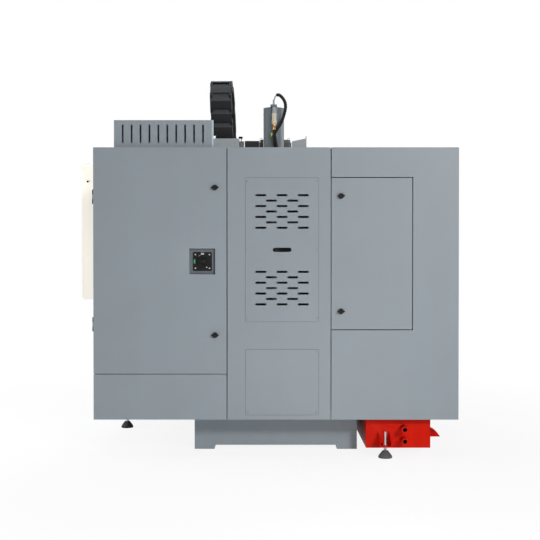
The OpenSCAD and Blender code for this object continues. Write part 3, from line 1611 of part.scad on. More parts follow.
module console_screen() color(black)
    translate([console_mid_x, console_y0 + screen_recess, screen_z]) along_y(0, screen_t)
        square([screen_w - 2 * clear, screen_h - 2 * clear], center = true);

module e_stop() color(tank_red) {
    x = console_mid_x - control_dx;
    y = console_y0 - estop_lift;
    rod_y(estop_stem_r, x, y - over, console_y0 + estop_bore_l - estop_lift, control_z);
    rod_y(estop_r, x, y - estop_t, y, control_z);
}

module push_button(x) {
    rod_y(button_r, x, console_y0 - button_t, console_y0 + button_bore_l - 2 * button_t, button_z);
}

module start_button() color(start_green) push_button(console_mid_x - button_dx);

module hold_button() color(hold_amber) push_button(console_mid_x + button_dx);

module override_knob() color(black) {
    x = console_mid_x + control_dx;
    rod_y(dial_shaft_r, x, console_y0 - clear - over, console_y0 + button_bore_l - over, control_z);
    rod_y(dial_r, x, console_y0 - clear - dial_t, console_y0 - clear, control_z);
    block([x - dial_r / 8, console_y0 - clear - dial_t - sheet, control_z],
          [x + dial_r / 8, console_y0 - clear - dial_t + over, control_z + dial_r * pointer_share]);
}

module handwheel() color(black) {
    y1 = console_y0 - clear;
    rod_y(dial_shaft_r, console_mid_x, y1 - over, console_y0 + button_bore_l - over, wheel_z);
    rod_y(handwheel_hub_r, console_mid_x, y1 - handwheel_t, y1, wheel_z);
    rod_y(handwheel_r, console_mid_x, y1 - handwheel_t, y1 - handwheel_t / 3, wheel_z);
    rod_y(crank_r, console_mid_x + handwheel_r * crank_share, y1 - handwheel_t - crank_l,
          y1 - handwheel_t / 2, wheel_z);
}

base_casting();
column();
guide_rails();
y_motor();
z_motor();
z_motor_plug();
z_motor_cable();
center_cover();
vent_panel();
lower_plate();
cabinet_shell();
cabinet_lower_panel();
cabinet_hinges();
drive_plate();
left_rear_panel();
service_box();
lube_unit();
resistor_box();
side_panel_right();
side_panel_left();
front_fascia();
front_hood();
inner_guards();
console_arm();
coolant_tank();
levelling_feet();
energy_chain();
roof_brackets();
z_bellows();
y_bellows();
saddle();
x_rails();
x_motor();
work_table();
head_casting();
spindle_motor();
spindle_cartridge();
spindle();
x_screw();
y_screw();
z_screw();
cabinet_door();
main_switch_base();
main_switch_handle();
cabinet_lock_upper();
cabinet_lock_lower();
access_door();
access_lock_upper();
access_lock_lower();
front_door_right();
front_door_left();
front_window_right();
front_window_left();
console();
console_screen();
e_stop();
start_button();
hold_button();
override_knob();
handwheel();
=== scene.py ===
# %% [markdown]
# # Dressing a compact enclosed milling machine
# The machine's construction comes from its CAD model: panels, castings, axes and doors at their real size
# and place. This lesson adds what that model leaves plain: paint, metal and plastic finishes, softened
# sheet edges, the energy chain, pleated bellows, cables, threads and screws. Each new piece is worked out
# with numpy, and most of them ride on a body.

# %% Load the construction
import json
import math

import bmesh
import bpy
import numpy as np
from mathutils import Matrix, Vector

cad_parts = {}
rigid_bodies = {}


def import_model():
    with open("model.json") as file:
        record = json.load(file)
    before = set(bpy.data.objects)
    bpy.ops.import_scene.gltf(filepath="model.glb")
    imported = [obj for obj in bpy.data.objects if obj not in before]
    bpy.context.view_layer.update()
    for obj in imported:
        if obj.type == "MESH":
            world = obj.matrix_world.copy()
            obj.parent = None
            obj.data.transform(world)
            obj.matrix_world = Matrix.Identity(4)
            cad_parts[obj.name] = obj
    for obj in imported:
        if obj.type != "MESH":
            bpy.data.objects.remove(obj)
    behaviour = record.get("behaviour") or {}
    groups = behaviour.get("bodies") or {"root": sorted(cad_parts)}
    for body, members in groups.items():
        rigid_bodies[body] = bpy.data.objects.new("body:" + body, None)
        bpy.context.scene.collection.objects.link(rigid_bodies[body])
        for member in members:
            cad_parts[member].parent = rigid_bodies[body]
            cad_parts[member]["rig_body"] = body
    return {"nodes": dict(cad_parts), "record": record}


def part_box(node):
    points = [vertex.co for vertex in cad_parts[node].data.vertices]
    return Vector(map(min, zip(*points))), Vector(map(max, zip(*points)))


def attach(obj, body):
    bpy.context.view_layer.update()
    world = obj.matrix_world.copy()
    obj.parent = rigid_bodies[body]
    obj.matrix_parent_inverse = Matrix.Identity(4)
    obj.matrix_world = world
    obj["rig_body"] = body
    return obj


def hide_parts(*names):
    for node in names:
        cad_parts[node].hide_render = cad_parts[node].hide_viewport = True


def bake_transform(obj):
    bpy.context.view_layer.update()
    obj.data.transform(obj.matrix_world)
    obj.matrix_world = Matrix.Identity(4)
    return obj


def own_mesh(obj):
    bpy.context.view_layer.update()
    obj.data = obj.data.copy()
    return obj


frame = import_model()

scene = bpy.context.scene
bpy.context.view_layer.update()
nodes = frame["nodes"]
body_of = {node: piece["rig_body"] for node, piece in nodes.items()}
slot_of = {part["node"]: part["material_slot"] for part in frame["record"]["subparts"]}
paint = {entry["slot"]: entry["base_color"][:3] for entry in frame["record"]["materials"]}
MACHINE = body_of["base_casting"]
HEAD = body_of["head_casting"]
MM = 0.001

# %% [markdown]
# The camera stands where the photo was taken: behind the machine, a little under a metre above the floor.
# Its focal length in pixels came from how fast the base's feet and the tank's edges shrink with depth. The
# horizon lies just above the picture's middle, so the camera tips down by less than a degree, and no shift
# is needed.

# %% Camera
PHOTO_SIDE_PX = 540
FOCAL_PX = 968
HORIZON_PX = 258
EYE = (0.028, 5.25, 0.93)

lens = bpy.data.cameras.new("photo_camera")
lens.lens = lens.sensor_width * FOCAL_PX / PHOTO_SIDE_PX
camera = bpy.data.objects.new("photo_camera", lens)
tip_down = math.atan((PHOTO_SIDE_PX / 2 - HORIZON_PX) / FOCAL_PX)
camera.location = EYE
camera.rotation_euler = (math.pi / 2 - tip_down, 0, math.pi)
scene.collection.objects.link(camera)
scene.camera = camera
scene.view_settings.view_transform = "Standard"
print("camera: lens", round(lens.lens, 1), "mm, tipped", round(math.degrees(tip_down), 2), "degrees")

# %% [markdown]
# Shader graphs are easier to read as sums than as boxes and wires. This small class wraps one socket:
# arithmetic on it adds Math nodes, and `node` adds any other kind, with its settings first and its sockets
# after them.

# %% Sockets as numbers
SHADER = "Principled BSDF"


class Wire:
    """A socket of a node tree. Arithmetic adds Math nodes, with plain numbers on either side."""

    def __init__(self, tree, socket):
        self.tree = tree
        self.socket = socket

    def node(self, kind, settings, inputs, out=0):
        """Adds a node of a kind, sets it up, fills or links its inputs, and gives one of its outputs."""
        made = self.tree.nodes.new("ShaderNode" + kind)
        for name, value in settings.items():
            setattr(made, name, value)
        for name, value in inputs.items():
            if isinstance(value, Wire):
                self.tree.links.new(value.socket, made.inputs[name])
            else:
                made.inputs[name].default_value = value
        return Wire(self.tree, made.outputs[out])

    def calc(self, operation, first, second):
        """One Math node with two values, each a wire or a plain number."""
        return self.node("Math", {"operation": operation}, {0: first, 1: second})

    def __add__(self, other):
        return self.calc("ADD", self, other)

    def __radd__(self, other):
        return self.calc("ADD", other, self)

    def __sub__(self, other):
        return self.calc("SUBTRACT", self, other)

    def __rsub__(self, other):
        return self.calc("SUBTRACT", other, self)

    def __mul__(self, other):
        return self.calc("MULTIPLY", self, other)

    def __rmul__(self, other):
        return self.calc("MULTIPLY", other, self)

    def __gt__(self, other):
        return self.calc("GREATER_THAN", self, other)


def noise(place, scale, detail=2.0):
    """Cloudy values from 0 to 1, with about `scale` clouds in a metre."""
    return place.node("TexNoise", {}, {"Vector": place, "Scale": scale, "Detail": detail}, "Fac")


def stretched(place, stretch):
    """The place with each axis scaled: clouds become streaks along the axis with the smallest number."""
    return place.node("VectorMath", {"operation": "MULTIPLY"}, {0: place, 1: stretch})


def tint(mask, low, high):
    """A colour that goes from low to high as the mask goes from 0 to 1."""
    return mask.node("Mix", {"data_type": "RGBA"}, {0: mask, 6: (*low, 1), 7: (*high, 1)}, 2)


def relief(height, depth, strength=1.0):
    """Bumps of a depth in metres, from a height between 0 and 1."""
    return height.node("Bump", {}, {"Strength": strength, "Distance": depth, "Height": height})


def shaded(colour, factor):
    """A colour made darker or lighter by a factor."""
    return tuple(min(1.0, channel * factor) for channel in colour)


def new_finish(name, colour, roughness, metallic=0.0, **constants):
    """A material with its even values set on the shader's own sockets; gives it and its place."""
    material = bpy.data.materials.new(name)
    material.use_nodes = True
    tree = material.node_tree
    shader = tree.nodes[SHADER]
    shader.inputs["Base Color"].default_value = (*colour, 1)
    shader.inputs["Roughness"].default_value = roughness
    shader.inputs["Metallic"].default_value = metallic
    for socket, value in constants.items():
        shader.inputs[socket.replace("_", " ")].default_value = value
    place = Wire(tree, tree.nodes.new("ShaderNodeTexCoord").outputs["Object"])
    return material, place


def feed(material, **wires):
    """Links varying values to the sockets of the material's shader, and gives the material."""
    shader = material.node_tree.nodes[SHADER]
    for socket, wire in wires.items():
        wire.tree.links.new(wire.socket, shader.inputs[socket.replace("_", " ")])
    return material


# %% [markdown]
# The machine is photographed on white, in soft light from above and from the picture's right: the top and
# the right wall of the switch's pocket are dark, its other two walls are light. The floor keeps the
# machine's shadow, and the world shows white to the camera, to gloss and to glass, while it lights the
# machine at a plain level.

# %% Floor, world and lamps
FLOOR_SIDE = 60.0
FLOOR_WHITE = 0.9
FLOOR_GLOW = 0.88
SHADOW_REACH = (1.2, 3.0)
WORLD_LEVEL = 0.06
WHITE = (1, 1, 1, 1)
MIDDLE = (0, 0, 0.9)
# Each lamp has a place, a point that it faces, the length of its side and its power in watts.
LAMPS = {
    "key_lamp": ((-3.0, 6.75, 3.1), MIDDLE, 1.0, 232),
    "low_lamp": ((-0.8, 6.5, 0.4), (0, 0.8, 0.1), 2.0, 32),
    "floor_lamp": ((-0.3, 2.4, 0.06), (-0.2, 0.5, 0.06), 0.5, 6),
    "console_lamp": ((2.8, 0.6, 1.0), (1.0, -0.6, 1.0), 1.2, 42),
    "top_lamp": ((0, 0.5, 6.0), MIDDLE, 4.0, 80),
    "front_lamp": ((1.5, -6.5, 3.8), MIDDLE, 3.5, 160),
    "left_lamp": ((-5.5, -1.5, 2.8), MIDDLE, 2.5, 100),
    "right_lamp": ((5.5, -1.5, 2.8), MIDDLE, 2.5, 70),
}


def shown_rays(tree):
    """1 for the rays that make the picture: those from the camera, from gloss and through glass."""
    rays = tree.nodes.new("ShaderNodeLightPath").outputs
    from_camera, from_gloss = Wire(tree, rays["Is Camera Ray"]), Wire(tree, rays["Is Glossy Ray"])
    return from_camera + from_gloss + Wire(tree, rays["Is Transmission Ray"])


def floor_finish():
    """Pale matt floor that the camera sees as nearly white, with the machine's shadow left in."""
    material, place = new_finish("floor", (FLOOR_WHITE,) * 3, 0.9)
    tree = material.node_tree
    glow = place.node("Emission", {}, {"Color": WHITE, "Strength": 1.0})
    away = place.node("VectorMath", {"operation": "LENGTH"}, {0: place}, "Value")
    fade = place.node("MapRange", {"interpolation_type": "SMOOTHSTEP"}, {
        "Value": away,
        "From Min": SHADOW_REACH[0],
        "From Max": SHADOW_REACH[1],
        "To Min": FLOOR_GLOW,
        "To Max": 1.0,
    })
    share = shown_rays(tree) * fade
    diffuse = Wire(tree, tree.nodes[SHADER].outputs[0])
    mixed = place.node("MixShader", {}, {0: share, 1: diffuse, 2: glow})
    tree.links.new(mixed.socket, tree.nodes["Material Output"].inputs["Surface"])
    return material


def white_world():
    """White to the camera, to gloss and to glass; a plain soft grey as a light."""
    world = bpy.data.worlds.new("studio")
    world.use_nodes = True
    tree = world.node_tree
    shown = shown_rays(tree)
    level = shown.calc("MINIMUM", shown.calc("MAXIMUM", shown, WORLD_LEVEL), 1.0)
    background = tree.nodes["Background"]
    background.inputs["Color"].default_value = WHITE
    tree.links.new(level.socket, background.inputs["Strength"])
    return world


def lamp(name, place, target, side, power):
    """A square soft lamp that faces a point."""
    light = bpy.data.lights.new(name, "AREA")
    light.size = side
    light.energy = power
    made = bpy.data.objects.new(name, light)
    made.location = place
    made.rotation_euler = (Vector(place) - Vector(target)).to_track_quat("Z", "Y").to_euler()
    scene.collection.objects.link(made)


half = FLOOR_SIDE / 2
floor_corners = [(-half, -half, 0), (half, -half, 0), (half, half, 0), (-half, half, 0)]
floor_mesh = bpy.data.meshes.new("floor")
floor_mesh.from_pydata(floor_corners, [], [(0, 1, 2, 3)])
floor_mesh.materials.append(floor_finish())
floor = bpy.data.objects.new("floor", floor_mesh)
scene.collection.objects.link(floor)
scene.world = white_world()
for name, values in LAMPS.items():
    lamp(name, *values)
print("stage: floor, world and", len(LAMPS), "lamps")

# %% [markdown]
# The panels are powder coated: a baked skin with a fine pebbled surface, faint clouds of tone and an even
# satin gloss. One function serves every powder-coated piece, so the shades stay one family. The pebbles are
# about a millimetre across, which is too small to see from the camera but gives the highlights their soft
# edge close by. The castings are filled, painted iron, and the tank has a brushed gloss enamel.

# %% Sheet-metal paint
ENAMEL_RED = (0.68, 0.013, 0.004)
PEBBLE = 650.0


def powder_coat(name, colour, roughness, pebble=PEBBLE):
    """Powder coat: clouds of tone a quarter metre wide, and millimetre pebbles as bumps and gloss."""
    material, place = new_finish(name, colour, roughness)
    clouds = noise(place, 3.5, 3.0)
    pebbles = noise(place, pebble, 2.0)
    wiped = noise(stretched(place, (9.0, 9.0, 0.7)), 1.0, 3.0)
    tone = 0.55 * clouds + 0.3 * wiped + 0.15 * pebbles
    return feed(
        material,
        Base_Color=tint(tone, shaded(colour, 0.90), shaded(colour, 1.10)),
        Roughness=roughness - 0.09 + 0.12 * pebbles + 0.08 * wiped,
        Normal=relief(pebbles, 0.00012),
    )


def cast_coat(name, colour):
    """Filled and painted iron: broad hand-worked waves under a pebbled coat."""
    material, place = new_finish(name, colour, 0.5)
    waves = noise(place, 18.0, 3.0)
    grit = noise(place, 330.0, 3.0)
    return feed(
        material,
        Base_Color=tint(0.6 * waves + 0.4 * grit, shaded(colour, 0.98), shaded(colour, 1.24)),
        Roughness=0.38 + 0.16 * grit + 0.06 * waves,
        Normal=relief(0.7 * grit + 0.3 * waves, 0.0005),
    )


def enamel(name, colour):
    """Gloss enamel, brushed on: a low orange-peel skin under a clear coat, darker where it ran thin."""
    material, place = new_finish(name, colour, 0.32, Coat_Roughness=0.12, Specular_IOR_Level=0.03)
    peel = noise(place, 140.0, 1.0)
    runs = noise(stretched(place, (26.0, 26.0, 3.0)), 1.0, 3.0)
    return feed(
        material,
        Base_Color=tint(0.7 * runs + 0.3 * peel, shaded(colour, 0.78), shaded(colour, 1.14)),
        Roughness=0.26 + 0.14 * runs,
        Coat_Weight=0.01 + 0.05 * peel,
        Normal=relief(peel, 0.0003),
    )


# %% [markdown]
# Bare metal shows how it was worked. A ground face has fine parallel scratches, and a plated screw is
# nearly even. Streaks come from noise that is stretched along one axis, and they change the gloss more than
# the colour, as real scratches do.

# %% Bare metals
def ground_metal(name, colour, roughness, streak, metallic=1.0):
    """Ground metal: scratches along one axis vary the gloss and leave a faint relief."""
    material, place = new_finish(name, colour, roughness, metallic)
    scratches = noise(stretched(place, streak), 1.0, 4.0)
    stains = noise(place, 14.0, 3.0)
    return feed(
        material,
        Base_Color=tint(0.5 * scratches + 0.5 * stains, shaded(colour, 0.8), shaded(colour, 1.12)),
        Roughness=roughness - 0.12 + 0.18 * scratches + 0.08 * stains,
        Normal=relief(scratches, 0.00004),
    )


def plated(name, colour, roughness):
    """Plated small hardware: nearly even, with a little cloudiness."""
    material, place = new_finish(name, colour, roughness, 1.0)
    haze = noise(place, 420.0, 2.0)
    return feed(
        material,
        Base_Color=tint(haze, shaded(colour, 0.85), shaded(colour, 1.1)),
        Roughness=roughness - 0.06 + 0.14 * haze,
    )


# %% [markdown]
# Plastics and rubber differ mainly in gloss and in the size of their grain. Moulded knobs have a fine
# spark-eroded grain, rubber and nylon are dull and paler on top, and lenses and windows are smooth. The paler
# tone, partly dusted and partly a painted sheen of the light from above, lies where the surface looks up,
# from the Geometry node's normal, so it stays put when the view changes.

# %% Plastics, rubber and glass
SOFT_SHINE = 0.12


def moulded(name, colour, roughness, grain=900.0, depth=0.00008):
    """Moulded plastic with a fine eroded grain."""
    material, place = new_finish(name, colour, roughness, Specular_IOR_Level=SOFT_SHINE)
    sparks = noise(place, grain, 2.0)
    wear = noise(place, 25.0, 4.0)
    return feed(
        material,
        Base_Color=tint(0.5 * sparks + 0.5 * wear, shaded(colour, 0.8), shaded(colour, 1.25)),
        Roughness=roughness - 0.08 + 0.1 * sparks + 0.08 * wear,
        Normal=relief(sparks, depth),
    )


def dust_and_sheen_finish(name, colour, roughness, dust_and_sheen):
    """Dull rubber or nylon, paler on the faces that look up: partly dusted, partly a painted sheen of light
    from above.
    """
    material, place = new_finish(name, colour, roughness, Specular_IOR_Level=SOFT_SHINE)
    tree = material.node_tree
    normal = Wire(tree, tree.nodes.new("ShaderNodeNewGeometry").outputs["Normal"])
    facing_up = place.node("SeparateXYZ", {}, {0: normal}, 2)
    clouds = noise(place, 40.0, 4.0)
    grain = noise(place, 700.0, 2.0)
    # Faces that look up get the paler tone: partly dusted, partly painted sheen of the light from above.
    dust_and_sheen_mask = (facing_up > 0.25) * (1 - 0.55 * (1 - clouds))
    return feed(
        material,
        Base_Color=tint(0.85 * dust_and_sheen_mask + 0.15 * grain, colour, dust_and_sheen),
        Roughness=roughness - 0.06 + 0.12 * grain + 0.06 * dust_and_sheen_mask,
        Normal=relief(grain, 0.0001),
    )


def lens_finish(name, colour, roughness):
    """Smooth coloured lens or cap under a clear coat, with faint rubbing marks in its gloss."""
    material, place = new_finish(name, colour, roughness, Coat_Weight=0.5, Coat_Roughness=0.05)
    rubbing = noise(place, 60.0, 4.0)
    return feed(
        material,
        Base_Color=tint(rubbing, shaded(colour, 0.85), shaded(colour, 1.12)),
        Roughness=roughness - 0.04 + 0.12 * rubbing,
    )


def clear_sheet(name, colour, roughness):
    """Clear tinted sheet, with wiping marks in its gloss."""
    material, place = new_finish(name, colour, roughness, Transmission_Weight=0.92, IOR=1.45)
    wiping = noise(stretched(place, (3.0, 3.0, 22.0)), 1.0, 4.0)
    return feed(material, Roughness=roughness + 0.09 * wiping)


colours = {
    **paint,
    "tank_red": ENAMEL_RED,
    "chain_black": shaded(paint["chain_black"], 0.55),
    "knob_black": shaded(paint["knob_black"], 0.75),
}
# Each slot has the function that makes its finish, with the values that follow its name and colour.
FINISHES = {
    "panel_paint": (powder_coat, 0.46),
    "pale_paint": (powder_coat, 0.5),
    "console_cream": (powder_coat, 0.44, 500.0),
    "motor_grey": (powder_coat, 0.42, 420.0),
    "motor_black": (powder_coat, 0.38, 500.0),
    "cast_paint": (cast_coat,),
    "tank_red": (enamel,),
    "bright_steel": (ground_metal, 0.3, (500.0, 500.0, 30.0)),
    "ground_iron": (ground_metal, 0.36, (12.0, 900.0, 900.0), 0.85),
    "plug_silver": (plated, 0.3),
    # The last colour of each of these is the paler tone of up-facing faces: partly dusted, partly painted
    # sheen.
    "foot_rubber": (dust_and_sheen_finish, 0.7, (0.06, 0.06, 0.06)),
    "cable_black": (dust_and_sheen_finish, 0.5, (0.035, 0.035, 0.036)),
    "chain_black": (dust_and_sheen_finish, 0.6, (0.085, 0.092, 0.098)),
    "bellows_black": (dust_and_sheen_finish, 0.6, (0.05, 0.05, 0.05)),
    "knob_black": (moulded, 0.42),
    "pale_plastic": (moulded, 0.4),
    "screen_dark": (lens_finish, 0.1),
    "stop_red": (lens_finish, 0.25),
    "start_green": (lens_finish, 0.2),
    "hold_amber": (lens_finish, 0.2),
    "window_glass": (clear_sheet, 0.03),
}
finish = {slot: make(slot, colours[slot], *values) for slot, (make, *values) in FINISHES.items()}
for node, piece in nodes.items():
    piece.data.materials.clear()
    piece.data.materials.append(finish[slot_of[node]])
print("finishes:", len(finish))

# %% [markdown]
# New pieces are surfaces of two parameters. A grid of points becomes quads by joining each point to its
# neighbours, and a wrapped side joins the last row or column to the first. All the shapes below only have
# to work out their points as whole arrays. Small sizes are written in millimetres, and `mm` gives them in
# metres.

# %% Grids into meshes
MERGE = 1e-6
SHARP_DEG, SOFT_DEG = 40, 60
STEEP = 0.9
# The ways that the machine's top, rear and front look.
UP, REAR, FRONT = (0, 0, 1), (0, 1, 0), (0, -1, 0)


def mm(*values):
    """Lengths in millimetres as an array in metres."""
    return np.array(values, float) * MM


def full_turn(count):
    """So many even angles once round, without the last, which is the first again."""
    return np.linspace(0, 2 * np.pi, count, endpoint=False)


def shell(points, wrap_rows=False):
    """Closes a grid of points round its columns, and caps its first and last row unless its rows wrap too.
    Gives the points, the quads between neighbours and the caps."""
    rows, cols = points.shape[:2]
    row, col = np.meshgrid(np.arange(rows - (not wrap_rows)), np.arange(cols), indexing="ij")
    next_row, next_col = (row + 1) % rows, (col + 1) % cols
    corners = [row * cols + col, next_row * cols + col, next_row * cols + next_col, row * cols + next_col]
    first = np.arange(cols)
    caps = [] if wrap_rows else [first, first + (rows - 1) * cols]
    return points.reshape(-1, 3), np.stack(corners, -1).reshape(-1, 4), caps


def put(name, mesh, body, stands_for, smooth_deg):
    """Puts a mesh in the scene at the origin, smooth between its sharp edges. The piece rides on a body if
    one is named and may stand for a node."""
    mesh.shade_smooth()
    mesh.set_sharp_from_angle(angle=math.radians(smooth_deg))
    piece = bpy.data.objects.new(name, mesh)
    scene.collection.objects.link(piece)
    if body:
        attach(piece, body)
    if stands_for:
        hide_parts(stands_for)
    return piece


def make_piece(name, shells, slot, body=None, material=None, stands_for=None, smooth_deg=SHARP_DEG):
    """Joins shells into one mesh, with doubles merged and faces outwards. It has its slot's finish or a
    material of its own."""
    starts = np.cumsum([0] + [len(points) for points, _, _ in shells])
    points = np.concatenate([points for points, _, _ in shells])
    faces = np.concatenate([start + quads for start, (_, quads, _) in zip(starts, shells)]).tolist()
    faces += [(start + cap).tolist() for start, (_, _, caps) in zip(starts, shells) for cap in caps]
    mesh = bpy.data.meshes.new(name)
    mesh.from_pydata(points.tolist(), [], faces)
    work = bmesh.new()
    work.from_mesh(mesh)
    bmesh.ops.remove_doubles(work, verts=work.verts, dist=MERGE)
    bmesh.ops.recalc_face_normals(work, faces=work.faces)
    work.to_mesh(mesh)
    work.free()
    mesh.materials.append(material or finish[slot])
    return put(name, mesh, body, stands_for, smooth_deg)


def across(axis):
    """The axis as an array, and two unit directions at right angles to it and to each other."""
    axis = np.array(axis, float)
    side = np.cross(axis, (0.0, 0.0, 1.0) if abs(axis[2]) < STEEP else (1.0, 0.0, 0.0))
    side /= np.linalg.norm(side)
    return axis, side, np.cross(axis, side)


def lathe(rows, centre, axis=UP, segments=36, ring=False):
    """Turns rows of radius and height, in millimetres, round an axis: centre + height * axis +
    radius * (cos, sin) across it. A row with a third value follows a polygon with so many flats: the radius
    grows by 1 / cos from the middle of each flat. A ring joins its last row to its first."""
    radius, height, flats = np.array([(*row, 0)[:3] for row in rows], float).T * ((MM,), (MM,), (1,))
    axis, side, up = across(axis)
    angle = full_turn(segments)
    sector = 2 * np.pi / np.maximum(flats, 3)[:, None]
    polygon = np.cos(sector / 2) / np.cos(angle % sector - sector / 2)
    reach = radius[:, None] * np.where(flats[:, None] >= 3, polygon, 1.0)
    circle = np.cos(angle)[:, None] * side + np.sin(angle)[:, None] * up
    return shell(np.array(centre) + height[:, None, None] * axis + reach[..., None] * circle, ring)


def scaled(rows, radius, height):
    """Rows for the lathe from rows that hold shares of a radius and a height."""
    return [(radius * wide, height * high, *flats) for wide, high, *flats in rows]


def corner_turns(steps):
    """The angles of four quarter turns, and the signs of the rectangle's corner that each belongs to."""
    quarter = np.linspace(0, np.pi / 2, steps + 1)
    turn = np.concatenate([quarter + k * np.pi / 2 for k in range(4)])
    return turn, np.array([(1, 1), (-1, 1), (-1, -1), (1, -1)]).repeat(steps + 1, axis=0)


def rounded_box(low, high, radius, steps=3):
    """A ball's grid pulled apart: each eighth of the ball moves to its own corner of the box. The corners are
    in metres, the radius is in millimetres."""
    low, high = np.array(low), np.array(high)
    turn, side = corner_turns(steps)
    quarter = np.linspace(0, np.pi / 2, steps + 1)
    rise = np.concatenate([quarter - np.pi / 2, quarter])[:, None]
    up = np.array([-1, 1]).repeat(steps + 1)[:, None]
    ball = (np.cos(rise) * np.cos(turn), np.cos(rise) * np.sin(turn), np.sin(rise))
    normal = np.stack(np.broadcast_arrays(*ball), -1)
    corner = np.stack(np.broadcast_arrays(side[:, 0], side[:, 1], up), -1)
    radius = radius * MM
    return shell((low + high) / 2 + corner * ((high - low) / 2 - radius) + normal * radius)


def block(low, high, radius):
    """A rounded box with all its values in millimetres."""
    return rounded_box(mm(*low), mm(*high), radius)


def plaque(origin, middle, half, depth, radius):
    """A rounded box about an origin in metres: its middle and half sizes in X and Z, its depths in Y."""
    low = mm(middle[0] - half[0], depth[0], middle[1] - half[1])
    high = mm(middle[0] + half[0], depth[1], middle[1] + half[1])
    return rounded_box(origin + low, origin + high, radius)


def tube(path, radius, sides=14):
    """Carries a ring along a path in metres: point + radius * (cos, sin) across the path's own direction. The
    radius is in millimetres."""
    path = np.array(path, float)
    along = np.gradient(path, axis=0)
    along /= np.linalg.norm(along, axis=1)[:, None]
    side = np.cross(along, (0.0, 1.0, 0.0))
    side /= np.linalg.norm(side, axis=1)[:, None]
    up = np.cross(along, side)
    angle = full_turn(sides)[:, None]
    ring = np.cos(angle) * side[:, None] + np.sin(angle) * up[:, None]
    reach = np.broadcast_to(np.array(radius) * MM, (len(path), sides))
    return shell(path[:, None] + reach[..., None] * ring)


def smooth_path(points, count):
    """A Catmull-Rom curve through points in millimetres: cubic stretches through every point, with the slope
    that its neighbours give."""
    points = mm(*points)
    padded = np.concatenate([points[:1], points, points[-1:]])
    along = np.linspace(0, len(points) - 1, count)
    first = np.minimum(along.astype(int), len(points) - 2)
    t = (along - first)[:, None]
    a, b, c, d = (padded[first + k] for k in range(4))
    return 0.5 * (2 * b + (c - a) * t + (2 * a - 5 * b + 4 * c - d) * t**2 + (3 * b - a - 3 * c + d) * t**3)


# %% [markdown]
# Folded sheet, castings and housings never have knife edges. A copy of each such solid has its loose
# triangles merged into whole faces, and a Bevel modifier rounds its sharp edges, so that each edge catches
# a thin line of light. The copy stands for the solid and keeps its form.

# %% Softened edges
FLAT_DEG = 1
FINE_EDGE = 1.0 * MM
PLATE_EDGE = 0.4 * MM
CAST_EDGE = 4.0 * MM
HOUSING_EDGE = 2.5 * MM
EDGE_STEPS = 2
FINE_NODES = [
    "center_cover", "vent_panel", "lower_plate", "cabinet_lower_panel", "left_rear_panel", "cabinet_door",
    "access_door", "resistor_box", "side_panel_right", "side_panel_left", "front_fascia", "front_hood",
    "front_door_right", "front_door_left", "coolant_tank", "roof_brackets", "cabinet_shell", "service_box",
    "cabinet_lock_upper", "cabinet_lock_lower", "access_lock_upper", "access_lock_lower",
]
CAST_NODES = ["base_casting", "column", "saddle", "head_casting"]
HOUSING_NODES = ["z_motor", "x_motor", "y_motor", "spindle_motor", "console", "console_arm"]


def softened(node, width):
    """A merged copy of a solid, with a Bevel modifier on its sharp edges, in place of the solid."""
    mesh = nodes[node].data.copy()
    work = bmesh.new()
    work.from_mesh(mesh)
    bmesh.ops.remove_doubles(work, verts=work.verts, dist=2 * MERGE)
    bmesh.ops.dissolve_limit(work, angle_limit=math.radians(FLAT_DEG), verts=work.verts, edges=work.edges)
    work.to_mesh(mesh)
    work.free()
    piece = put(node + "_soft_edges", mesh, body_of[node], node, SHARP_DEG)
    bevel = piece.modifiers.new("rounded_edges", "BEVEL")
    bevel.width = width
    bevel.segments = EDGE_STEPS
    bevel.limit_method = "ANGLE"
    bevel.angle_limit = math.radians(SHARP_DEG)
    bevel.harden_normals = True


edge_of = dict.fromkeys(FINE_NODES, FINE_EDGE)
edge_of.update(dict.fromkeys(CAST_NODES, CAST_EDGE))
edge_of.update(dict.fromkeys(HOUSING_NODES, HOUSING_EDGE))
edge_of.update(vent_panel=PLATE_EDGE, lower_plate=PLATE_EDGE, work_table=FINE_EDGE)
for node, width in edge_of.items():
    softened(node, width)
print("softened:", len(edge_of), "solids")

# %% [markdown]
# The two plates on the middle cover are screwed down over a thin foam gasket, painted dark as the shade in
# the gap under each plate's edge, so that a dark line shows around each plate. The gasket is an oval section
# carried round a rectangle. A screw is a low dome with a hexagonal socket: a few rows of radius and height
# turned round its axis, where the socket's rows follow a hexagon.

# %% Screwed-on plates
# An oval strip has a width, a height and the radius of its corners.
SHADE_GASKET = 2.2, 1.2, 1.5
PLATE_SCREW_R = 4.5
# Each plate has so many rows of screws, at an inset from its sides and an inset from its ends.
PLATE_SCREWS = {"vent_panel": (3, 8, 16), "lower_plate": (2, 11, 12)}
SCREW_ROWS = [
    (0, -0.2), (1, -0.2), (1, 0.25), (0.86, 0.5), (0.6, 0.62), (0.5, 0.62, 6), (0.5, 0.2, 6), (0, 0.2, 6),
]


def rim_strip(node, y, width, height, corner, inset=0.0, steps=4, sides=10):
    """An oval carried round a node's rectangle in X and Z: outline + outward normal * width / 2 * cos, and
    y + height * sin. The sizes are in millimetres, y is in metres."""
    low, high = (np.array((place.x, place.z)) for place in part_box(node))
    turn, side = corner_turns(steps)
    normal = np.stack([np.cos(turn), np.sin(turn)], -1)
    reach = (high - low) / 2 - (inset + corner) * MM
    outline = (low + high) / 2 + side * reach + corner * MM * normal
    oval = full_turn(sides)
    flat = outline[:, None] + normal[:, None] * (width * MM / 2 * np.cos(oval))[:, None]
    depth = np.broadcast_to(y + height * MM * np.sin(oval), flat.shape[:2])
    return shell(np.stack([flat[..., 0], depth, flat[..., 1]], -1), wrap_rows=True)


def socket_screw(place, radius):
    """A low dome with a hexagonal socket that looks to the rear; its rows are shares of its radius."""
    return lathe(scaled(SCREW_ROWS, radius, radius), place, REAR)


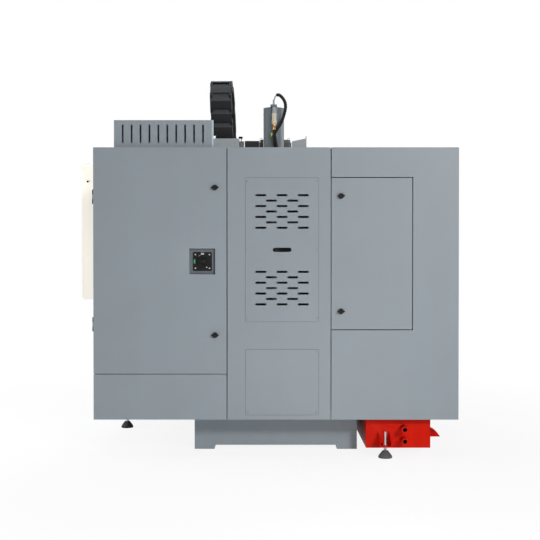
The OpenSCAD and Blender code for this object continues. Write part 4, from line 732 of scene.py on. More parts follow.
shade_gaskets, plate_screws = [], []
for node, (rows, inset_x, inset_z) in PLATE_SCREWS.items():
    low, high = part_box(node)
    shade_gaskets.append(rim_strip(node, low.y, *SHADE_GASKET))
    for x in (low.x + inset_x * MM, high.x - inset_x * MM):
        for z in np.linspace(low.z + inset_z * MM, high.z - inset_z * MM, rows):
            plate_screws.append(socket_screw((x, high.y, z), PLATE_SCREW_R))
# The gasket's dark grey is painted shade of the gap under each plate's edge.
gap_shade_grey = moulded("gap_shade_grey", (0.09, 0.095, 0.1), 0.7)
make_piece("plate_shade_gaskets", shade_gaskets, "foot_rubber", MACHINE, gap_shade_grey)
make_piece("plate_screws", plate_screws, "panel_paint", MACHINE)
print("plates:", len(shade_gaskets), "gaskets,", len(plate_screws), "screws")

# %% [markdown]
# The main switch sits in a folded pocket of the cabinet door, on a tray painted darker as the pocket's shade.
# Its square plate carries four screws, a green lamp at the picture's left, a white field above and a small
# stud, with a pale curved streak beside the handle painted as a highlight on its rim. The handle is a moulded
# dish with a raised rim and a rounded grip across it; it is a piece of its own, because it turns with the
# switch.

# %% Main switch
# Each block has its middle and half sizes on the plate, its depths from the face and its edge radius.
SHADE_TRAY = (0, 0), (59.8, 59.8), (-5.1, -4.4), 0.3
GREEN_LAMP = (37, 0), (5, 11), (-1, 4), 2.5
FIELD = (0, 35.5), (7, 4.5), (-1, 1), 0.6
GRIP = (0, 0), (20, 11.5), (4.5, 14), 5
DISH_ROWS = [(0, 0.3), (27, 0.3), (27, 4.5), (25.6, 6.0), (22.5, 6.3), (21, 5.2), (0, 5.2)]
CORNER_X, CORNER_Z, CORNER_SCREW_R = 33, 32, 3.6
STUD_PLACE, STUD_R = (-20, 0, -27), 3.0
# The curved streak beside the handle is a painted highlight of its rim, in the pale marking colour.
HIGHLIGHT_R, HIGHLIGHT_LIFT, HIGHLIGHT_WIRE = 30.5, 0.915, 0.9
HIGHLIGHT_ARC = np.radians(np.linspace(52, 76, 12))

plate_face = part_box("main_switch_base")[1].y
low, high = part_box("main_switch_handle")
switch = np.array([(low.x + high.x) / 2, plate_face, (low.z + high.z) / 2])
door = body_of["main_switch_base"]
# The tray's darker grey is painted shade of the recessed pocket.
pocket_shade_grey = moulded("pocket_shade_grey", shaded(paint["panel_paint"], 0.62), 0.5, PEBBLE)
make_piece("pocket_shade_tray", [plaque(switch, *SHADE_TRAY)], "panel_paint", door, pocket_shade_grey)
zinc = plated("zinc", (0.55, 0.56, 0.57), 0.34)
corners = [(x, 0, z) for x in (-CORNER_X, CORNER_X) for z in (-CORNER_Z, CORNER_Z)]
switch_screws = [socket_screw(switch + mm(*corner), CORNER_SCREW_R) for corner in corners]
switch_screws.append(socket_screw(switch + mm(*STUD_PLACE), STUD_R))
make_piece("switch_screws", switch_screws, "plug_silver", door, zinc)
lamp_green = lens_finish("lamp_green", (0.006, 0.22, 0.07), 0.12)
make_piece("switch_lamp", [plaque(switch, *GREEN_LAMP)], "start_green", door, lamp_green)
# This curved streak is a painted highlight; the white field beside it is a real marking.
highlight_arc = np.stack([HIGHLIGHT_R * np.cos(HIGHLIGHT_ARC), np.full(len(HIGHLIGHT_ARC), HIGHLIGHT_LIFT), HIGHLIGHT_R * np.sin(HIGHLIGHT_ARC)], -1)
marks = [plaque(switch, *FIELD), tube(switch + highlight_arc * MM, HIGHLIGHT_WIRE)]
mark_and_highlight_white = moulded("mark_and_highlight_white", (0.52, 0.53, 0.53), 0.45)
make_piece("switch_marks_and_highlight", marks, "pale_plastic", door, mark_and_highlight_white)
handle = [lathe(DISH_ROWS, switch, REAR, segments=60), plaque(switch, *GRIP)]
make_piece(
    "switch_grip", handle, "knob_black", body_of["main_switch_handle"], stands_for="main_switch_handle")
print("switch at", switch.round(3))

# %% [markdown]
# The energy chain carries the head's cables over the roof. Its links are moulded nylon: two side plates
# with round ends that pivot on each other, and lids that close the outer face like shingles, so that a
# lighter sloping band and a dark slit repeat up the rear leg. A link is made once in its own frame and then
# placed along the leg, the bend and the other leg.

# %% One chain link
CHAIN_W, CHAIN_T = 108 * MM, 55 * MM
PLATE_T, PLATE_R = 6.5 * MM, 0.45 * CHAIN_T
LINK_EDGE, BAR_EDGE, BAR_SHARE, HALF_POINTS = 1.2 * MM, 0.8 * MM, 0.97, 15
LID_T = 4 * MM
OUTER_INSET, INNER_INSET, PIVOT_INSET = 2 * MM, 4 * MM, 0.6 * MM
PIVOT_ROWS = [(0, -1), (8, -1), (8, 0.9), (6.8, 1.6), (3, 1.6, 6), (3, 0.6, 6), (0, 0.6, 6)]
LINKS = 11
CHAIN_X0, BEND_Y, BEND_Z = 209 * MM, 260 * MM, 1698 * MM
BEND_OUTSIDE_R = 140 * MM
REAR_END_Z, FRONT_END_Z = 1541 * MM, 1480 * MM
CHAIN_LEAN = math.radians(-2.2)
CHAIN_SWAY = 0.04

bend_r = BEND_OUTSIDE_R - CHAIN_T / 2
rear_leg = BEND_Z - REAR_END_Z
bend_leg = math.pi * bend_r
pitch = (rear_leg + bend_leg + BEND_Z - FRONT_END_Z) / LINKS


def slab(outline, end_outline, x0, x1, edge):
    """An outline of Y and Z points carried along X; a smaller outline at both ends rounds the edges."""
    x = np.array([x0, x0 + edge, x1 - edge, x1])[:, None]
    rows = np.stack([end_outline, outline, outline, end_outline])
    return shell(np.stack(np.broadcast_arrays(x, rows[..., 0], rows[..., 1]), -1))


def side_plate(x0, x1):
    """A slab whose outline is two half circles pulled apart along Z by one pitch."""
    turn = np.linspace(0, np.pi, HALF_POINTS)
    half_circle = np.stack([np.cos(turn), np.sin(turn)], -1)
    outline = np.concatenate([half_circle, -half_circle])
    pull = np.outer(np.repeat([pitch / 2, -pitch / 2], HALF_POINTS), (0, 1))
    return slab(PLATE_R * outline + pull, (PLATE_R - LINK_EDGE) * outline + pull, x0, x1, LINK_EDGE)


def bar(section, x0, x1):
    """A slab with a section of Y and Z points that shrinks a little towards its middle at both ends."""
    section = np.array(section)
    middle = section.mean(0)
    return slab(section, middle + BAR_SHARE * (section - middle), x0, x1, BAR_EDGE)


def chain_link(inner):
    """Side plates, a shingle lid outside, a flat lid inside and pivot studs, about the link's middle. An
    inner link runs between the plates of its neighbours and has no studs."""
    step = PLATE_T if inner else 0.0
    y1 = CHAIN_T / 2
    lid = [
        (y1 - LID_T, -0.49 * pitch), (y1 - 0.8 * MM, -0.49 * pitch), (y1, -0.475 * pitch), (y1, 0.1 * pitch),
        (y1 - 1.5 * MM, 0.18 * pitch), (12 * MM, 0.75 * pitch), (8.5 * MM, 0.72 * pitch),
        (y1 - LID_T - MM, 0.1 * pitch),
    ]
    inside = [
        (-y1, -0.3 * pitch), (-y1 + LID_T, -0.3 * pitch), (-y1 + LID_T, 0.3 * pitch), (-y1, 0.3 * pitch),
    ]
    parts = [
        side_plate(step, step + PLATE_T),
        side_plate(CHAIN_W - step - PLATE_T, CHAIN_W - step),
        bar(lid, OUTER_INSET, CHAIN_W - OUTER_INSET),
        bar(inside, INNER_INSET, CHAIN_W - INNER_INSET),
    ]
    if not inner:
        for z in (-pitch / 2, pitch / 2):
            for x, way in ((PIVOT_INSET, -1), (CHAIN_W - PIVOT_INSET, 1)):
                parts.append(lathe(PIVOT_ROWS, (x, 0, z), (way, 0, 0), segments=24))
    return parts


print("chain link: pitch", round(pitch / MM, 1), "mm")

# %% [markdown]
# The chain can't be rigid: when the head goes down, its bend goes down half as far. Each link here keeps
# its form, and each stretch has a share of the head's travel listed, from little at the roof bracket to all
# at the head; the links whose share is whole ride on the head, and the others stay where they are placed. On
# the front leg two slightly smaller twins sit inside their neighbours.

# %% Chain along its path
TWIN_SCALE = 0.985
# Each stretch has its links, its share of the head's travel and its scale.
STRETCHES = {
    "chain_rear_foot": ([0], 0.12, 1.0),
    "chain_rear_leg": ([1], 0.312, 0.995),
    "chain_arch": ([2, 3, 4, 5, 6, 7], 0.5, 1.0),
    "chain_front_8_twin": ([8], 0.518, TWIN_SCALE),
    "chain_front_8": ([8], 0.739, 1.0),
    "chain_front_9_twin": ([9], 0.759, TWIN_SCALE),
    "chain_front_9": ([9], 0.98, 1.0),
    "chain_front_end": ([10], 1.0, 1.0),
}


def place_link(parts, s, scale):
    """Turns and moves a link to a length s along the chain: up the rear leg, round the bend, down the front
    leg."""
    turn = np.clip((s - rear_leg) / bend_r, 0, np.pi)
    y = bend_r * np.cos(turn)
    z = BEND_Z + bend_r * np.sin(turn) + min(s - rear_leg, 0) - max(s - rear_leg - bend_leg, 0)
    middle = np.array([CHAIN_W / 2, 0, 0])
    cosine, sine = math.cos(turn), math.sin(turn)
    tilt = np.array([(1, 0, 0), (0, cosine, sine), (0, -sine, cosine)])
    cosine, sine = math.cos(CHAIN_LEAN), math.sin(CHAIN_LEAN)
    lean = np.array([(cosine, sine, 0), (-sine, cosine, 0), (0, 0, 1)])
    moved = []
    for points, *faces in parts:
        local = (middle + scale * (points - middle)) @ tilt + (0, y, z)
        placed = local @ lean + (CHAIN_X0, BEND_Y, 0)
        placed[:, 0] += CHAIN_SWAY * np.maximum(placed[:, 2] - REAR_END_Z, 0)
        moved.append((placed, *faces))
    return moved


def share_travel(piece):
    """Bakes the piece's placement into its mesh."""
    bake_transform(piece)


for name, (links, share, scale) in STRETCHES.items():
    shells = [part for i in links for part in place_link(chain_link(i % 2 == 1), (i + 0.5) * pitch, scale)]
    body = HEAD if share == 1.0 else None
    piece = make_piece(name, shells, "chain_black", body, stands_for="energy_chain")
    if share < 1.0:
        share_travel(piece)
print("chain:", LINKS, "links in", len(STRETCHES), "pieces")

# %% [markdown]
# Bellows keep chips off the ways. The cloth is stitched into sharp pleats that its thickness rounds off, so
# its depth follows a triangle wave with softened tips. The one on the column fills its place below the
# head, and the one on the bed is drawn between the front wall and the saddle.

# %% Bellows
CLOTH_T = 2 * MM
TIP_SHARPNESS = 0.98
POINTS_PER_FOLD = 14
COLUMN_FOLDS, BED_FOLDS = 16, 9
Z_TRAVEL = 0.33


def pleats(node, folds, along):
    """A sheet in a node's box, drawn out along X: its depth is 1 / 2 + arcsin(k sin) / (2 arcsin k) of the
    box, with k just under 1. Gives the sheet and the box."""
    low, high = (np.array(corner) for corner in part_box(node))
    deep = 3 - along
    t = np.linspace(0, 1, folds * POINTS_PER_FOLD + 1)
    swing = np.arcsin(TIP_SHARPNESS * np.sin(2 * np.pi * folds * t - np.pi / 2))
    wave = 0.5 + swing / (2 * math.asin(TIP_SHARPNESS))
    face = low[deep] + (high[deep] - low[deep] - CLOTH_T) * wave
    run = low[along] + (high[along] - low[along]) * t
    loop = np.empty((2 * len(t), 3))
    loop[:, along] = np.concatenate([run, run[::-1]])
    loop[:, deep] = np.concatenate([face, face[::-1] + CLOTH_T])
    ends = np.repeat(loop[None], 2, axis=0)
    ends[..., 0] = np.array([low[:1], high[:1]])
    return shell(ends), low, high


cloth, low, high = pleats("z_bellows", COLUMN_FOLDS, 2)
column_bellows = make_piece(
    "column_bellows", [cloth], "bellows_black", MACHINE, stands_for="z_bellows", smooth_deg=SOFT_DEG)
1 - Z_TRAVEL / (high[2] - low[2])
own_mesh(column_bellows)
cloth, low, high = pleats("y_bellows", BED_FOLDS, 1)
bed_bellows = make_piece(
    "bed_bellows", [cloth], "bellows_black", stands_for="y_bellows", smooth_deg=SOFT_DEG)
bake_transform(bed_bellows)
print("bellows:", COLUMN_FOLDS, "and", BED_FOLDS, "folds")

# %% [markdown]
# On top of the Z motor a grey fitting holds a connector: a clear union nut, a cream sleeve, a brass gland
# and a black lead with a yellow tag. A clear air tube leaves the fitting and goes into a black cable with
# spiral wrap. All are turned or swept forms along the route of the construction's cable, and they stand for
# its plain cylinders.

# %% Connector and cable on the Z motor
CABLE_ROUTE = [
    (9, 205, 1718), (9, 205, 1735), (7, 209, 1753), (-2, 216, 1770), (-16, 226, 1775), (-34, 240, 1760),
    (-48, 250, 1736), (-52, 256, 1712), (-49, 260, 1686), (-39, 263, 1650), (-24, 266, 1616), (-9, 268, 1593),
    (3, 269, 1568), (1, 268, 1540), (-5, 266, 1508), (-9, 265, 1480), (-10, 265, 1461),
]
LEAD_ROUTE = [(7, 252, 1592), (7, 252, 1570), (6, 252, 1540), (4, 252, 1505), (3, 252, 1461)]
CABLE_R, LEAD_R, AIR_R = 8.6, 5, 3.6
CABLE_POINTS, LEAD_POINTS = 640, 60
WRAP_STEP, WRAP_DEPTH, WRAP_SIDES = 9 * MM, 1.6, 20
BAND_STEEPNESS, BAND_SHIFT = 7, 0.35
CLEAR_SHARE, CLEAR_LAP = 0.215, 6
PLUG_AXIS = 7, 252, 0
HOSE_AXIS = 9, 205, 0
UNION_NUT = [
    (0, 1674), (9, 1674), (9.6, 1676), (9.6, 1688), (8, 1690), (8, 1694), (9.4, 1695, 12), (9.4, 1707, 12),
    (8.2, 1709), (0, 1711),
]
SLEEVE = [
    (0, 1619), (10.5, 1619), (11.8, 1621), (12.2, 1634), (11.4, 1640), (11.4, 1662), (12, 1668), (11.6, 1674),
    (9, 1675.5), (0, 1675.5),
]
GLAND = [
    (0, 1590), (6.2, 1590), (7, 1594), (7, 1602), (8.2, 1603, 6), (8.2, 1613, 6), (7.2, 1614), (7.2, 1619.5),
    (0, 1619.5),
]
HOSE_UNION = [(0, 1718), (7.5, 1718, 6), (7.5, 1725, 6), (5.6, 1726), (5.6, 1747), (4.6, 1750), (0, 1750)]
FITTING_Z0, FITTING_EDGE = 1709 * MM, 2
TAG = (12, 250, 1557), (23, 254, 1574), 1.6
TIE_PLACE = 6, 252, 1566
TIE_ROWS = [(5.2, -4), (6.4, -4), (6.4, 4), (5.2, 4)]


def wrapped_cable(path):
    """A tube whose radius drops by the wrap's depth in the open part of a spiral:
    1 / (1 + exp(-k (sin(angle - 2 pi s / step) + shift))). Gives the tube and its length."""
    s = np.concatenate([[0], np.cumsum(np.linalg.norm(np.diff(path, axis=0), axis=1))])
    angle = full_turn(WRAP_SIDES)
    spiral = np.sin(angle - 2 * np.pi * s[:, None] / WRAP_STEP)
    band = 1 / (1 + np.exp(-BAND_STEEPNESS * (spiral + BAND_SHIFT)))
    return tube(path, CABLE_R - WRAP_DEPTH * (1 - band), WRAP_SIDES), s[-1]


whole = smooth_path(CABLE_ROUTE, CABLE_POINTS)
start = int(CLEAR_SHARE * len(whole))
cable, cable_length = wrapped_cable(whole[start:])
make_piece("spiral_cable", [cable], "cable_black", MACHINE, stands_for="z_motor_cable", smooth_deg=SOFT_DEG)
air_finish = moulded("air_tube", (0.42, 0.44, 0.46), 0.25)
clear_tube = [tube(whole[: start + CLEAR_LAP], AIR_R)]
make_piece("air_tube", clear_tube, "plug_silver", MACHINE, air_finish, "z_motor_cable", SOFT_DEG)

low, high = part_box("z_motor_plug")
fitting = rounded_box((low.x, low.y, FITTING_Z0), high, FITTING_EDGE)
brass = plated("brass", (0.62, 0.36, 0.13), 0.3)
sleeve_cream = moulded("sleeve_cream", (0.86, 0.72, 0.56), 0.42)
tag_yellow = moulded("tag_yellow", (0.86, 0.72, 0.07), 0.45)
plug_pieces = [
    ("motor_fitting", [fitting], "motor_grey", None),
    ("union_nut", [lathe(UNION_NUT, mm(*PLUG_AXIS), segments=48)], "plug_silver", air_finish),
    ("hose_union", [lathe(HOSE_UNION, mm(*HOSE_AXIS))], "plug_silver", air_finish),
    ("connector_sleeve", [lathe(SLEEVE, mm(*PLUG_AXIS))], "console_cream", sleeve_cream),
    ("brass_gland", [lathe(GLAND, mm(*PLUG_AXIS))], "plug_silver", brass),
    ("sensor_lead", [tube(smooth_path(LEAD_ROUTE, LEAD_POINTS), LEAD_R)], "cable_black", None),
    ("yellow_tag", [block(*TAG), lathe(TIE_ROWS, mm(*TIE_PLACE))], "pale_plastic", tag_yellow),
]
for name, shells, slot, material in plug_pieces:
    make_piece(name, shells, slot, MACHINE, material, "z_motor_plug")
print("cable:", round(cable_length, 3), "m with spiral wrap")

# %% [markdown]
# Small hardware finishes the roof: lifting eyes on the spindle motor, bolts in the chain's bracket, a hose
# clip, a stop block and the flange of the resistor box, painted twice as light as the panels as the highlight
# along its edges. An eye is a ring of two angles on a turned collar.

# %% Hardware on the roof
EYE_COLLAR_ROWS = [(0, -1), (9, -1), (9, 2), (6, 4), (0, 4)]
EYE_RING_Z, EYE_RING_R, EYE_WIRE_R = 11, 7.5, 2.2
EYE_INSETS = 14, 90
BRACKET_BOLTS, BRACKET_BOLT_R = [(x, 406, z) for x in (205, 290) for z in (1468, 1504)], 5
HOSE_CLIP = [((165, 374, 1529), (185, 390, 1539), 3), ((170, 380, 1512), (174, 384, 1531), 1)]
STOP_BLOCK = (157.7, 365.7, 1441), (180.3, 406.3, 1513.3), 2
# The flange's two blocks are set off from corners of the resistor box.
FLANGE_UPRIGHT = (-0.2, -2.2, 0), (8, 0.6, 0)
FLANGE_FOOT = (0, -24, 0), (0, 1.5, 3)
FLANGE_EDGE = 0.8


def torus(centre, axis, radius, wire, around=32, sides=12):
    """A ring with its radii in millimetres: centre + (radius + wire * cos) * direction across the axis +
    wire * sin * axis."""
    axis, side, up = across(axis)
    u = full_turn(around)[:, None, None]
    v = full_turn(sides)[None, :, None]
    spoke = np.cos(u) * side + np.sin(u) * up
    ring = (radius + wire * np.cos(v)) * spoke + wire * np.sin(v) * axis
    return shell(np.array(centre) + ring * MM, wrap_rows=True)


def lifting_eye(place):
    """A ring that stands on a collar."""
    ring_place = np.array(place) + mm(0, 0, EYE_RING_Z)
    return [lathe(EYE_COLLAR_ROWS, place), torus(ring_place, REAR, EYE_RING_R, EYE_WIRE_R)]


low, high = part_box("spindle_motor")
eyes = []
for x in (low.x + EYE_INSETS[0] * MM, high.x - EYE_INSETS[1] * MM):
    eyes += lifting_eye((x, (low.y + high.y) / 2, high.z))
make_piece("lifting_eyes", eyes, "plug_silver", HEAD, zinc)
bracket_bolts = [socket_screw(mm(*place), BRACKET_BOLT_R) for place in BRACKET_BOLTS]
make_piece("bracket_bolts", bracket_bolts, "pale_paint", MACHINE)
make_piece("hose_clip", [block(*values) for values in HOSE_CLIP], "knob_black", MACHINE)
low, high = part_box("resistor_box")
flange_low = np.array((low.x, high.y, low.z))
flange = []
flange_blocks = ((low.x, high.y, high.z), FLANGE_UPRIGHT), ((high.x, high.y, low.z), FLANGE_FOOT)
for flange_high, shifts in flange_blocks:
    low_shift, high_shift = (mm(*shift) for shift in shifts)
    flange.append(rounded_box(flange_low + low_shift, flange_high + high_shift, FLANGE_EDGE))
# The flange is the panel paint made twice as light: a painted highlight along the box's edges.
flange_highlight_grey = moulded("flange_highlight_grey", shaded(paint["panel_paint"], 2.0), 0.5, PEBBLE)
make_piece("resistor_flange_highlight", flange, "panel_paint", MACHINE, flange_highlight_grey)
block_grey = moulded("block_grey", (0.17, 0.17, 0.168), 0.45)
make_piece("stop_block", [block(*STOP_BLOCK)], "motor_grey", MACHINE, block_grey)
print("roof: eyes,", len(bracket_bolts), "bolts, clip, flange and stop block")

# %% [markdown]
# Machines stand on levelling feet: a pad, a threaded stud and a lock nut. The pads of the enclosure are
# black rubber, those of the tank are grey metal. The thread is a row of ridges turned with the stud, and
# the nut's rows follow a hexagon with chamfered corners.

# %% Levelling feet
# The rows of pads and nuts are shares of a radius and a height.
PAD_R, SIDE_PAD_H, TANK_PAD_H = 32.5, 35, 33
PAD_ROWS = [(0, 0), (0.97, 0), (1, 0.06), (1, 0.2), (0.92, 0.36), (0.45, 0.95), (0.4, 1.0), (0, 1.0)]
SIDE_FEET = [(x, y, 0) for x in (-812, 812) for y in (-650, -60)]
TANK_FEET = [(-509, 750, 0), (-673, -370, 0), (-481, -370, 0)]
SIDE_STUD_R, SIDE_STUD_Z0 = 8, 30
TANK_STUD_R, TANK_STUD_Z0, TANK_STUD_Z1 = 6, 29, 122
THREAD_STEP, THREAD_ROOT = 2.5, 0.88
SIDE_NUT_R, TANK_NUT_R, NUT_H = 13.6, 10.2, 9
TANK_NUT_ZS = 43, 56
NUT_ROWS = [(0, 0), (0.88, 0), (1, 0.12, 6), (1, 0.88, 6), (0.88, 1), (0, 1)]


def stud(foot, radius, z0, z1):
    """A stud with a ridge at every step: its radius goes down to the thread's root and up again."""
    z = np.arange(z0, z1, THREAD_STEP / 2)
    radii = radius * np.where(np.arange(len(z)) % 2 == 0, 1.0, THREAD_ROOT)
    return lathe(np.vstack([(0, z0), np.column_stack([radii, z]), (0, z1)]), mm(*foot), segments=20)


skirt_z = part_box("levelling_feet")[1].z / MM
pads = [lathe(scaled(PAD_ROWS, PAD_R, SIDE_PAD_H), mm(*foot), segments=48) for foot in SIDE_FEET]
tank_pads = [lathe(scaled(PAD_ROWS, PAD_R, TANK_PAD_H), mm(*foot), segments=48) for foot in TANK_FEET]
studs = [stud(foot, SIDE_STUD_R, SIDE_STUD_Z0, skirt_z) for foot in SIDE_FEET]
studs += [stud(foot, TANK_STUD_R, TANK_STUD_Z0, TANK_STUD_Z1) for foot in TANK_FEET]
side_nut, tank_nut = (scaled(NUT_ROWS, radius, NUT_H) for radius in (SIDE_NUT_R, TANK_NUT_R))
nuts = [lathe(side_nut, mm(x, y, skirt_z - NUT_H)) for x, y, _ in SIDE_FEET]
nuts += [lathe(tank_nut, mm(x, y, z)) for x, y, _ in TANK_FEET for z in TANK_NUT_ZS]
pad_grey = moulded("pad_grey", (0.1, 0.104, 0.107), 0.4, 300.0, 0.0002)
make_piece("side_pads", pads, "foot_rubber", MACHINE, stands_for="levelling_feet")
make_piece("tank_pads", tank_pads, "foot_rubber", MACHINE, pad_grey, "levelling_feet")
make_piece("foot_studs", studs, "bright_steel", MACHINE, stands_for="levelling_feet")
make_piece("foot_nuts", nuts, "plug_silver", MACHINE, zinc, "levelling_feet")
print("feet:", len(pads) + len(tank_pads))

# %% [markdown]
# The operator's console hangs at the front. Its keys are moulded caps over the construction's plain blocks,
# the screen has a soft bezel, and the controls sit in collars: yellow under the stop button, bright round
# the push buttons.

# %% Console details
KEY_COLS, KEY_ROWS = 8, 5
KEY_STEP_X, KEY_STEP_Z, FIRST_KEY_Z = 28, 26, 8
KEY_HALF, KEY_DEPTH, KEY_EDGE = (10.3, 8.3), (-3.6, 1), 2
KEYPAD_Z = 1039.8 * MM
KEY_T = 3 * MM
KEYPAD = (0, 61), (118, 73), (-0.5, 2), 1
BEZEL = 12, 3.5, 6
CONSOLE_BOLTS, CONSOLE_BOLT_R = [(922, 1391), (1127, 1391)], 6
STOP_COLLAR = 12, 29, 2
BUTTON_RING = 11.6, 15, 2.5
# A collar starts below the face; its chamfer starts at a share of its thickness and narrows its radius.
COLLAR_ROOT, CHAMFER_START, CHAMFER_SHARE = -0.5, 0.6, 0.95


def collar(node, inner, outer, thickness):
    """A flat ring on the console's face round a control, turned about the control's own middle."""
    low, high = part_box(node)
    rows = [
        (inner, COLLAR_ROOT), (outer, COLLAR_ROOT), (outer, CHAMFER_START * thickness),
        (CHAMFER_SHARE * outer, thickness), (inner, thickness),
    ]
    return lathe(rows, ((low.x + high.x) / 2, face_y, (low.z + high.z) / 2), FRONT, segments=48, ring=True)


console_low, console_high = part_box("console")
console_body = body_of["console"]
face_y = console_low.y + KEY_T
keypad = np.array(((console_low.x + console_high.x) / 2, face_y, KEYPAD_Z))
key_xs = (np.arange(KEY_COLS) - (KEY_COLS - 1) / 2) * KEY_STEP_X
key_zs = FIRST_KEY_Z + np.arange(KEY_ROWS) * KEY_STEP_Z
keys = [plaque(keypad, (x, z), KEY_HALF, KEY_DEPTH, KEY_EDGE) for x in key_xs for z in key_zs]
make_piece("key_caps", keys, "pale_plastic", console_body)
make_piece("keypad_panel", [plaque(keypad, *KEYPAD)], "screen_dark", console_body)
make_piece("screen_bezel", [rim_strip("console_screen", face_y, *BEZEL)], "knob_black", console_body)
bolts = [socket_screw((x * MM, console_high.y, z * MM), CONSOLE_BOLT_R) for x, z in CONSOLE_BOLTS]
make_piece("console_bolts", bolts, "knob_black", console_body)
make_piece("stop_collar", [collar("e_stop", *STOP_COLLAR)], "hold_amber", console_body, tag_yellow)
rings = [collar(node, *BUTTON_RING) for node in ("start_button", "hold_button")]
make_piece("button_rings", rings, "bright_steel", console_body)
print("console:", len(keys), "key caps")

# %% [markdown]
# Each front door has a window held in a black rubber profile, and a handle with a moulded sleeve. The
# profile is the same oval strip as round the two screwed-on plates, only larger, once on each side of the
# door sheet.

# %% Front doors
SHEET = 3 * MM
FRONT_SEAL = 18, 5, 14
BACK_SEAL = 18, 4, 14
WINDOW_LAP = 12
SLEEVE_X, SLEEVE_Y, SLEEVE_Z = 43.5, -829, 1030
SLEEVE_ROWS = [
    (11.1, 0), (12.2, 0), (13, 1.5), (13, 4), (12.4, 8), (12.4, 192), (13, 196), (13, 198.5), (12.2, 200),
    (11.1, 200),
]
for side, sign in (("right", 1), ("left", -1)):
    window, body = "front_window_" + side, body_of["front_door_" + side]
    low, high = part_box(window)
    seals = [
        rim_strip(window, low.y - SHEET, *FRONT_SEAL, WINDOW_LAP),
        rim_strip(window, high.y, *BACK_SEAL, WINDOW_LAP),
    ]
    make_piece(f"window_seal_{side}", seals, "foot_rubber", body)
    handle_sleeve = lathe(SLEEVE_ROWS, mm(sign * SLEEVE_X, SLEEVE_Y, SLEEVE_Z), ring=True)
    make_piece(f"handle_sleeve_{side}", [handle_sleeve], "knob_black", body)
print("front doors: two windows sealed")

# %% [markdown]
# Ball screws carry a rounded thread. Its lead follows from the machine's own couplings: a slide that moves
# one metre turns its screw by so many radians. The radius dips along a helix between the two journals,
# which are found from the construction's own vertices.

# %% Ball screws
GROOVE = 1.8 * MM
THREAD_SIDES, POINTS_PER_TURN, THREAD_DEG = 22, 14, 50
THREAD_SHARE = 0.95


def ball_screw(node, along, lead):
    """Turns a rod whose radius is r - groove * (1 / 2 + 1 / 2 cos(angle - 2 pi s / lead)) ** 3, with plain
    journals."""
    low, high = (np.array(corner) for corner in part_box(node))
    flat = np.empty(3 * len(nodes[node].data.vertices))
    nodes[node].data.vertices.foreach_get("co", flat)
    points = flat.reshape(-1, 3)
    first, second = (axis for axis in range(3) if axis != along)
    centre = (low + high) / 2
    radial = np.linalg.norm((points - centre)[:, [first, second]], axis=1)
    threaded = points[radial > THREAD_SHARE * radial.max(), along]
    journal = radial[points[:, along] > threaded.max() + MM].max()
    s = np.linspace(threaded.min(), threaded.max(), int(np.ptp(threaded) / lead * POINTS_PER_TURN))
    angle = full_turn(THREAD_SIDES)
    dip = (0.5 + 0.5 * np.cos(angle - 2 * np.pi * s[:, None] / lead)) ** 3
    plain = np.full((2, THREAD_SIDES), journal)
    reach = np.vstack([plain, radial.max() - GROOVE * dip, plain])
    grid = np.empty((*reach.shape, 3))
    grid[..., along] = np.concatenate([[low[along], s[0]], s, [s[-1], high[along]]])[:, None]
    grid[..., first] = centre[first] + reach * np.cos(angle)
    grid[..., second] = centre[second] + reach * np.sin(angle)
    return shell(grid)


radians_per_metre = abs(frame["record"]["behaviour"]["couplings"][0]["ratio"])
screw_lead = 2 * math.pi / radians_per_metre
screw_finish = ground_metal("screw_steel", paint["bright_steel"], 0.24, (120.0, 120.0, 120.0))
for along, node in enumerate(("x_screw", "y_screw", "z_screw")):
    thread = [ball_screw(node, along, screw_lead)]
    make_piece(node + "_thread", thread, "bright_steel", body_of[node], screw_finish, node, THREAD_DEG)
print("ball screws: lead", round(screw_lead / MM, 2), "mm")

# %% [markdown]
# Guide rails are bolted down through counterbores, and plastic caps close these so that the wipers of the
# carriages run smoothly. A row of low discs along each rail is enough.

# %% Rail caps
CAP_ROWS = [(0, -1), (5.5, -1), (5.5, 0.05), (5.1, 0.2), (0, 0.2)]
CAP_STEP = 60 * MM
# Each rail has the first and the last cap's place on its face, and the way that the face looks.
FIXED_RAILS = [((x, -395, 464), (x, 145, 464), UP) for x in (-170, 170)]
FIXED_RAILS += [((x, 181, 725), (x, 181, 1385), FRONT) for x in (-140, 140)]
X_RAILS = [((-375, y, 590), (375, y, 590), UP) for y in (-220, -30)]


def cap_row(start, end, axis):
    """Discs at an even step between two points of a rail's face."""
    start, end = mm(*start), mm(*end)
    count = int(np.linalg.norm(end - start) / CAP_STEP) + 1
    return [lathe(CAP_ROWS, place, axis, segments=20) for place in np.linspace(start, end, count)]


fixed_caps = [cap for rail in FIXED_RAILS for cap in cap_row(*rail)]
x_caps = [cap for rail in X_RAILS for cap in cap_row(*rail)]
make_piece("rail_caps", fixed_caps, "knob_black", MACHINE)
make_piece("x_rail_caps", x_caps, "knob_black", body_of["x_rails"])
print("rail caps:", len(fixed_caps) + len(x_caps))

# %% [markdown]
# Behind the cabinet door stand five drives over a row of contactors, with slotted wire ducts between and
# below them. The construction has them as plain blocks on their plate. Fronts, terminals, duct ribs and
# wires are set on these blocks, so that an open door shows a wired cabinet.

# %% Inside the cabinet
DRIVES, DRIVE_X, DRIVE_STEP, DRIVE_W = 5, 297, 90, 78
CONTACTORS, CONTACTOR_STEP, CONTACTOR_W = 7, 54, 48
DRIVE_Y, CONTACTOR_Y, DUCT_Y = 671, 636, 616
